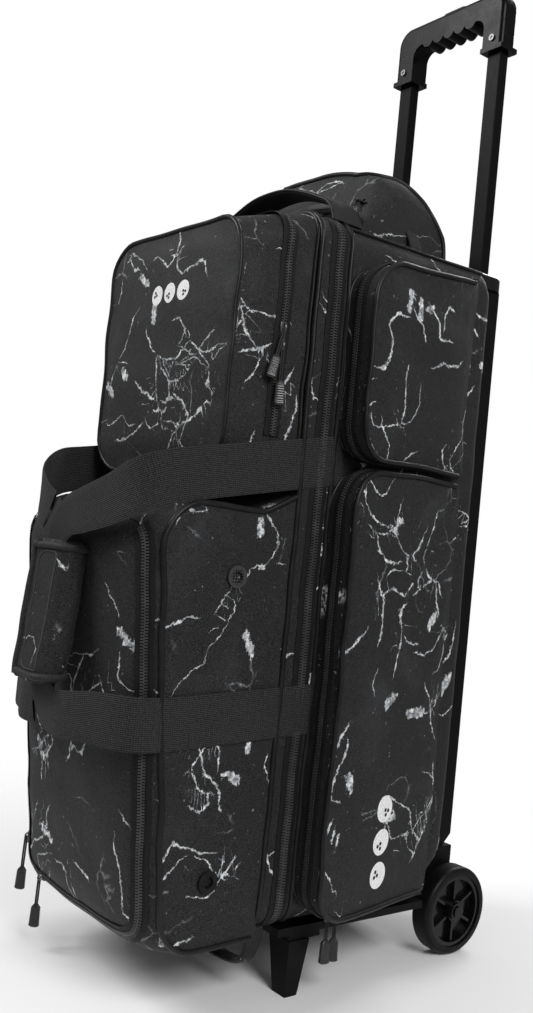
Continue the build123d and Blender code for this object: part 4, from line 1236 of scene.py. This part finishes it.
# ---- Padding inside -------------------------------------------------------------------------
def ball_padding():
    """Foam cups that seat the balls, and the dividers between them."""
    for name in ("bottom", "middle", "top"):
        low, high = (np.array(c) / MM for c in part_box(f"ball_cup_{name}"))
        centre, radius, floor, height = (low + high) / 2, (high[0] - low[0]) / 2, low[2], high[2] - low[2]
        ball, seat = BALL_RADIUS + 1, 6.0
        profile = [(0.5, 0.0), (radius - 5, 0.0), (radius - 1.5, 1.5), (radius, 5), (radius, height - 4),
                   (radius - 1, height - 1), (radius - 4, height)]
        lip = sqrt(max(ball ** 2 - (seat + ball - height) ** 2, 0))
        profile += [(lip + 1, height)] if lip + 1 < radius - 4 else []
        bowl = np.linspace(min(lip, radius - 5), 0.5, 12)
        profile += [(r, seat + ball - sqrt(ball ** 2 - r ** 2)) for r in bowl]
        angles = np.linspace(0, 2 * pi, 64, endpoint=False)
        rings = [np.column_stack([centre[0] + r * np.cos(angles), centre[1] + r * np.sin(angles),
                                  np.full(64, floor + z)]) for r, z in profile]
        obj = Mesh().loft(rings, ends=(True, True)).piece(
            f"ball_cup_pad_{name}", "bag", FOAM, "padding", angle=35)
        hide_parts(f"ball_cup_{name}")
    for name in ("lower", "upper"):
        low, high = (np.array(c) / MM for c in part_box(f"divider_{name}"))
        corners = [(low[0], low[1], 4), (high[0], low[1], 4), (high[0], high[1], 24), (low[0], high[1], 24)]
        rings = []
        for inset, z in ((2.5, 0), (0.6, 0.8), (0, 2.5), (0, 5.5), (0.6, 7.2), (2.5, 8)):
            shrunk = [(u - np.sign(u) * inset, v + (inset if v < 0 else -inset), r) for u, v, r in corners]
            rings.append(in_plane(outline(shrunk, (20, 18, 20, 18)), X, Y, (0, 0, low[2] + z)))
        obj = Mesh().loft(rings, ends=(True, True)).piece(f"divider_pad_{name}", "bag", LINING, "padding")
        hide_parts(f"divider_{name}")


# ---- CAD nodes that keep their shape --------------------------------------------------------
def finish_nodes():
    """Materials of the nodes that no piece replaces, by their slot."""
    gloss = moulded("gloss_black", 0.003, 0.16, 0.00003, 300.0, 0.15)
    satin = moulded("satin_black", 0.002, 0.26, 0.00005, shine=0.10)
    grained = moulded("grained_black", 0.003, 0.42, 0.00014, 500.0, shine=0.10)
    rubber = moulded("tyre_rubber", 0.004, 0.38, 0.00010, 700.0, shine=0.14)
    vent = vent_plastic()
    tube = metal("anodised_tube", 0.004, 0.34, 0.05)
    steel = metal("plated_steel", 0.12, 0.3)
    by_slot = {"frame_plastic": grained, "gloss_plastic": gloss, "grip_plastic": satin, "tube": tube,
               "steel": steel, "tyre": rubber, "vent_plastic": vent, "zip_metal": SLIDER}
    slots = {part["node"]: part["material_slot"] for part in frame["record"]["subparts"]}
    for name, node in frame["nodes"].items():
        material = by_slot.get(slots[name])
        if material:
            node.data.materials.clear()
            node.data.materials.append(material)


# ---- Stage ----------------------------------------------------------------------------------
WORLD_LIGHT = 0.30                      # how bright the white surroundings are to the surfaces
LIGHTS = (("key", (-1.4, -2.2, 2.6), (0, 0, 0.5), 1.5, 80),       # place and target in metres, size, watts
          ("side", (2.4, -0.4, 2.0), (0, 0, 0.5), 1.3, 58),
          ("rim", (-0.6, 2.4, 2.4), (0, 0, 0.7), 1.2, 40))
CAMERA_PLACE = (0.9286, -0.7329, 0.4652)        # metres
CAMERA_TURN = (91.53, -5.5, 51.83)              # degrees about X, Y and Z
CAMERA_LENS = 36.96


def stage():
    """White floor that fades out, white surroundings and three area lights."""
    bpy.ops.mesh.primitive_plane_add(size=14, location=(0, 0, 0))
    floor = bpy.context.object
    floor.name = "studio_floor"
    shader = Shader("floor_white")
    shader.set(Base_Color=grey(0.88), Roughness=0.9, Specular_IOR_Level=0.1)
    middle = shader.vector("LENGTH", out=1, i0=shader.place())
    shader.set(Alpha=shader.ramp(middle, 0.22, 0.95, 1.0, 0.0))
    floor.data.materials.append(shader.material)
    world = bpy.data.worlds.new("studio")
    bpy.context.scene.world = world
    world.use_nodes = True
    nodes, background = world.node_tree.nodes, world.node_tree.nodes["Background"]
    background.inputs["Color"].default_value = (1, 1, 1, 1)
    seen = nodes.new("ShaderNodeLightPath").outputs["Is Camera Ray"]
    strength = nodes.new("ShaderNodeMapRange")
    strength.inputs["To Min"].default_value, strength.inputs["To Max"].default_value = WORLD_LIGHT, 1.0
    world.node_tree.links.new(seen, strength.inputs["Value"])
    world.node_tree.links.new(strength.outputs[0], background.inputs["Strength"])
    for name, spot, target, size, power in LIGHTS:
        light = bpy.data.lights.new(name, "AREA")
        light.size, light.energy = size, power
        obj = bpy.data.objects.new(name, light)
        obj.location = spot
        obj.rotation_euler = (Vector(target) - Vector(spot)).to_track_quat("-Z", "Y").to_euler()
        bpy.context.scene.collection.objects.link(obj)
    bpy.context.scene.view_settings.view_transform = "Standard"


def camera():
    lens = bpy.data.cameras.new("camera")
    lens.sensor_width, lens.sensor_fit, lens.lens = 36.0, "AUTO", CAMERA_LENS
    obj = bpy.data.objects.new("camera", lens)
    bpy.context.scene.collection.objects.link(obj)
    turn = Euler([radians(angle) for angle in CAMERA_TURN])
    obj.matrix_world = Matrix.Translation(CAMERA_PLACE) @ turn.to_matrix().to_4x4()
    bpy.context.scene.camera = obj


camera()
stage()
ball_bay()
lid_shell()
main_zipper()
body_details()
upper_compartment()
shoe_compartment()
for level in POCKET_HEIGHTS:
    for side in SIDES:
        side_pocket(level, side)
top_pocket()
grab_bands()
sewn_webbing()
carry_loop("right", -264.5)
carry_loop("left", -258.5)
wrap()
sliders()
ball_padding()
finish_nodes()
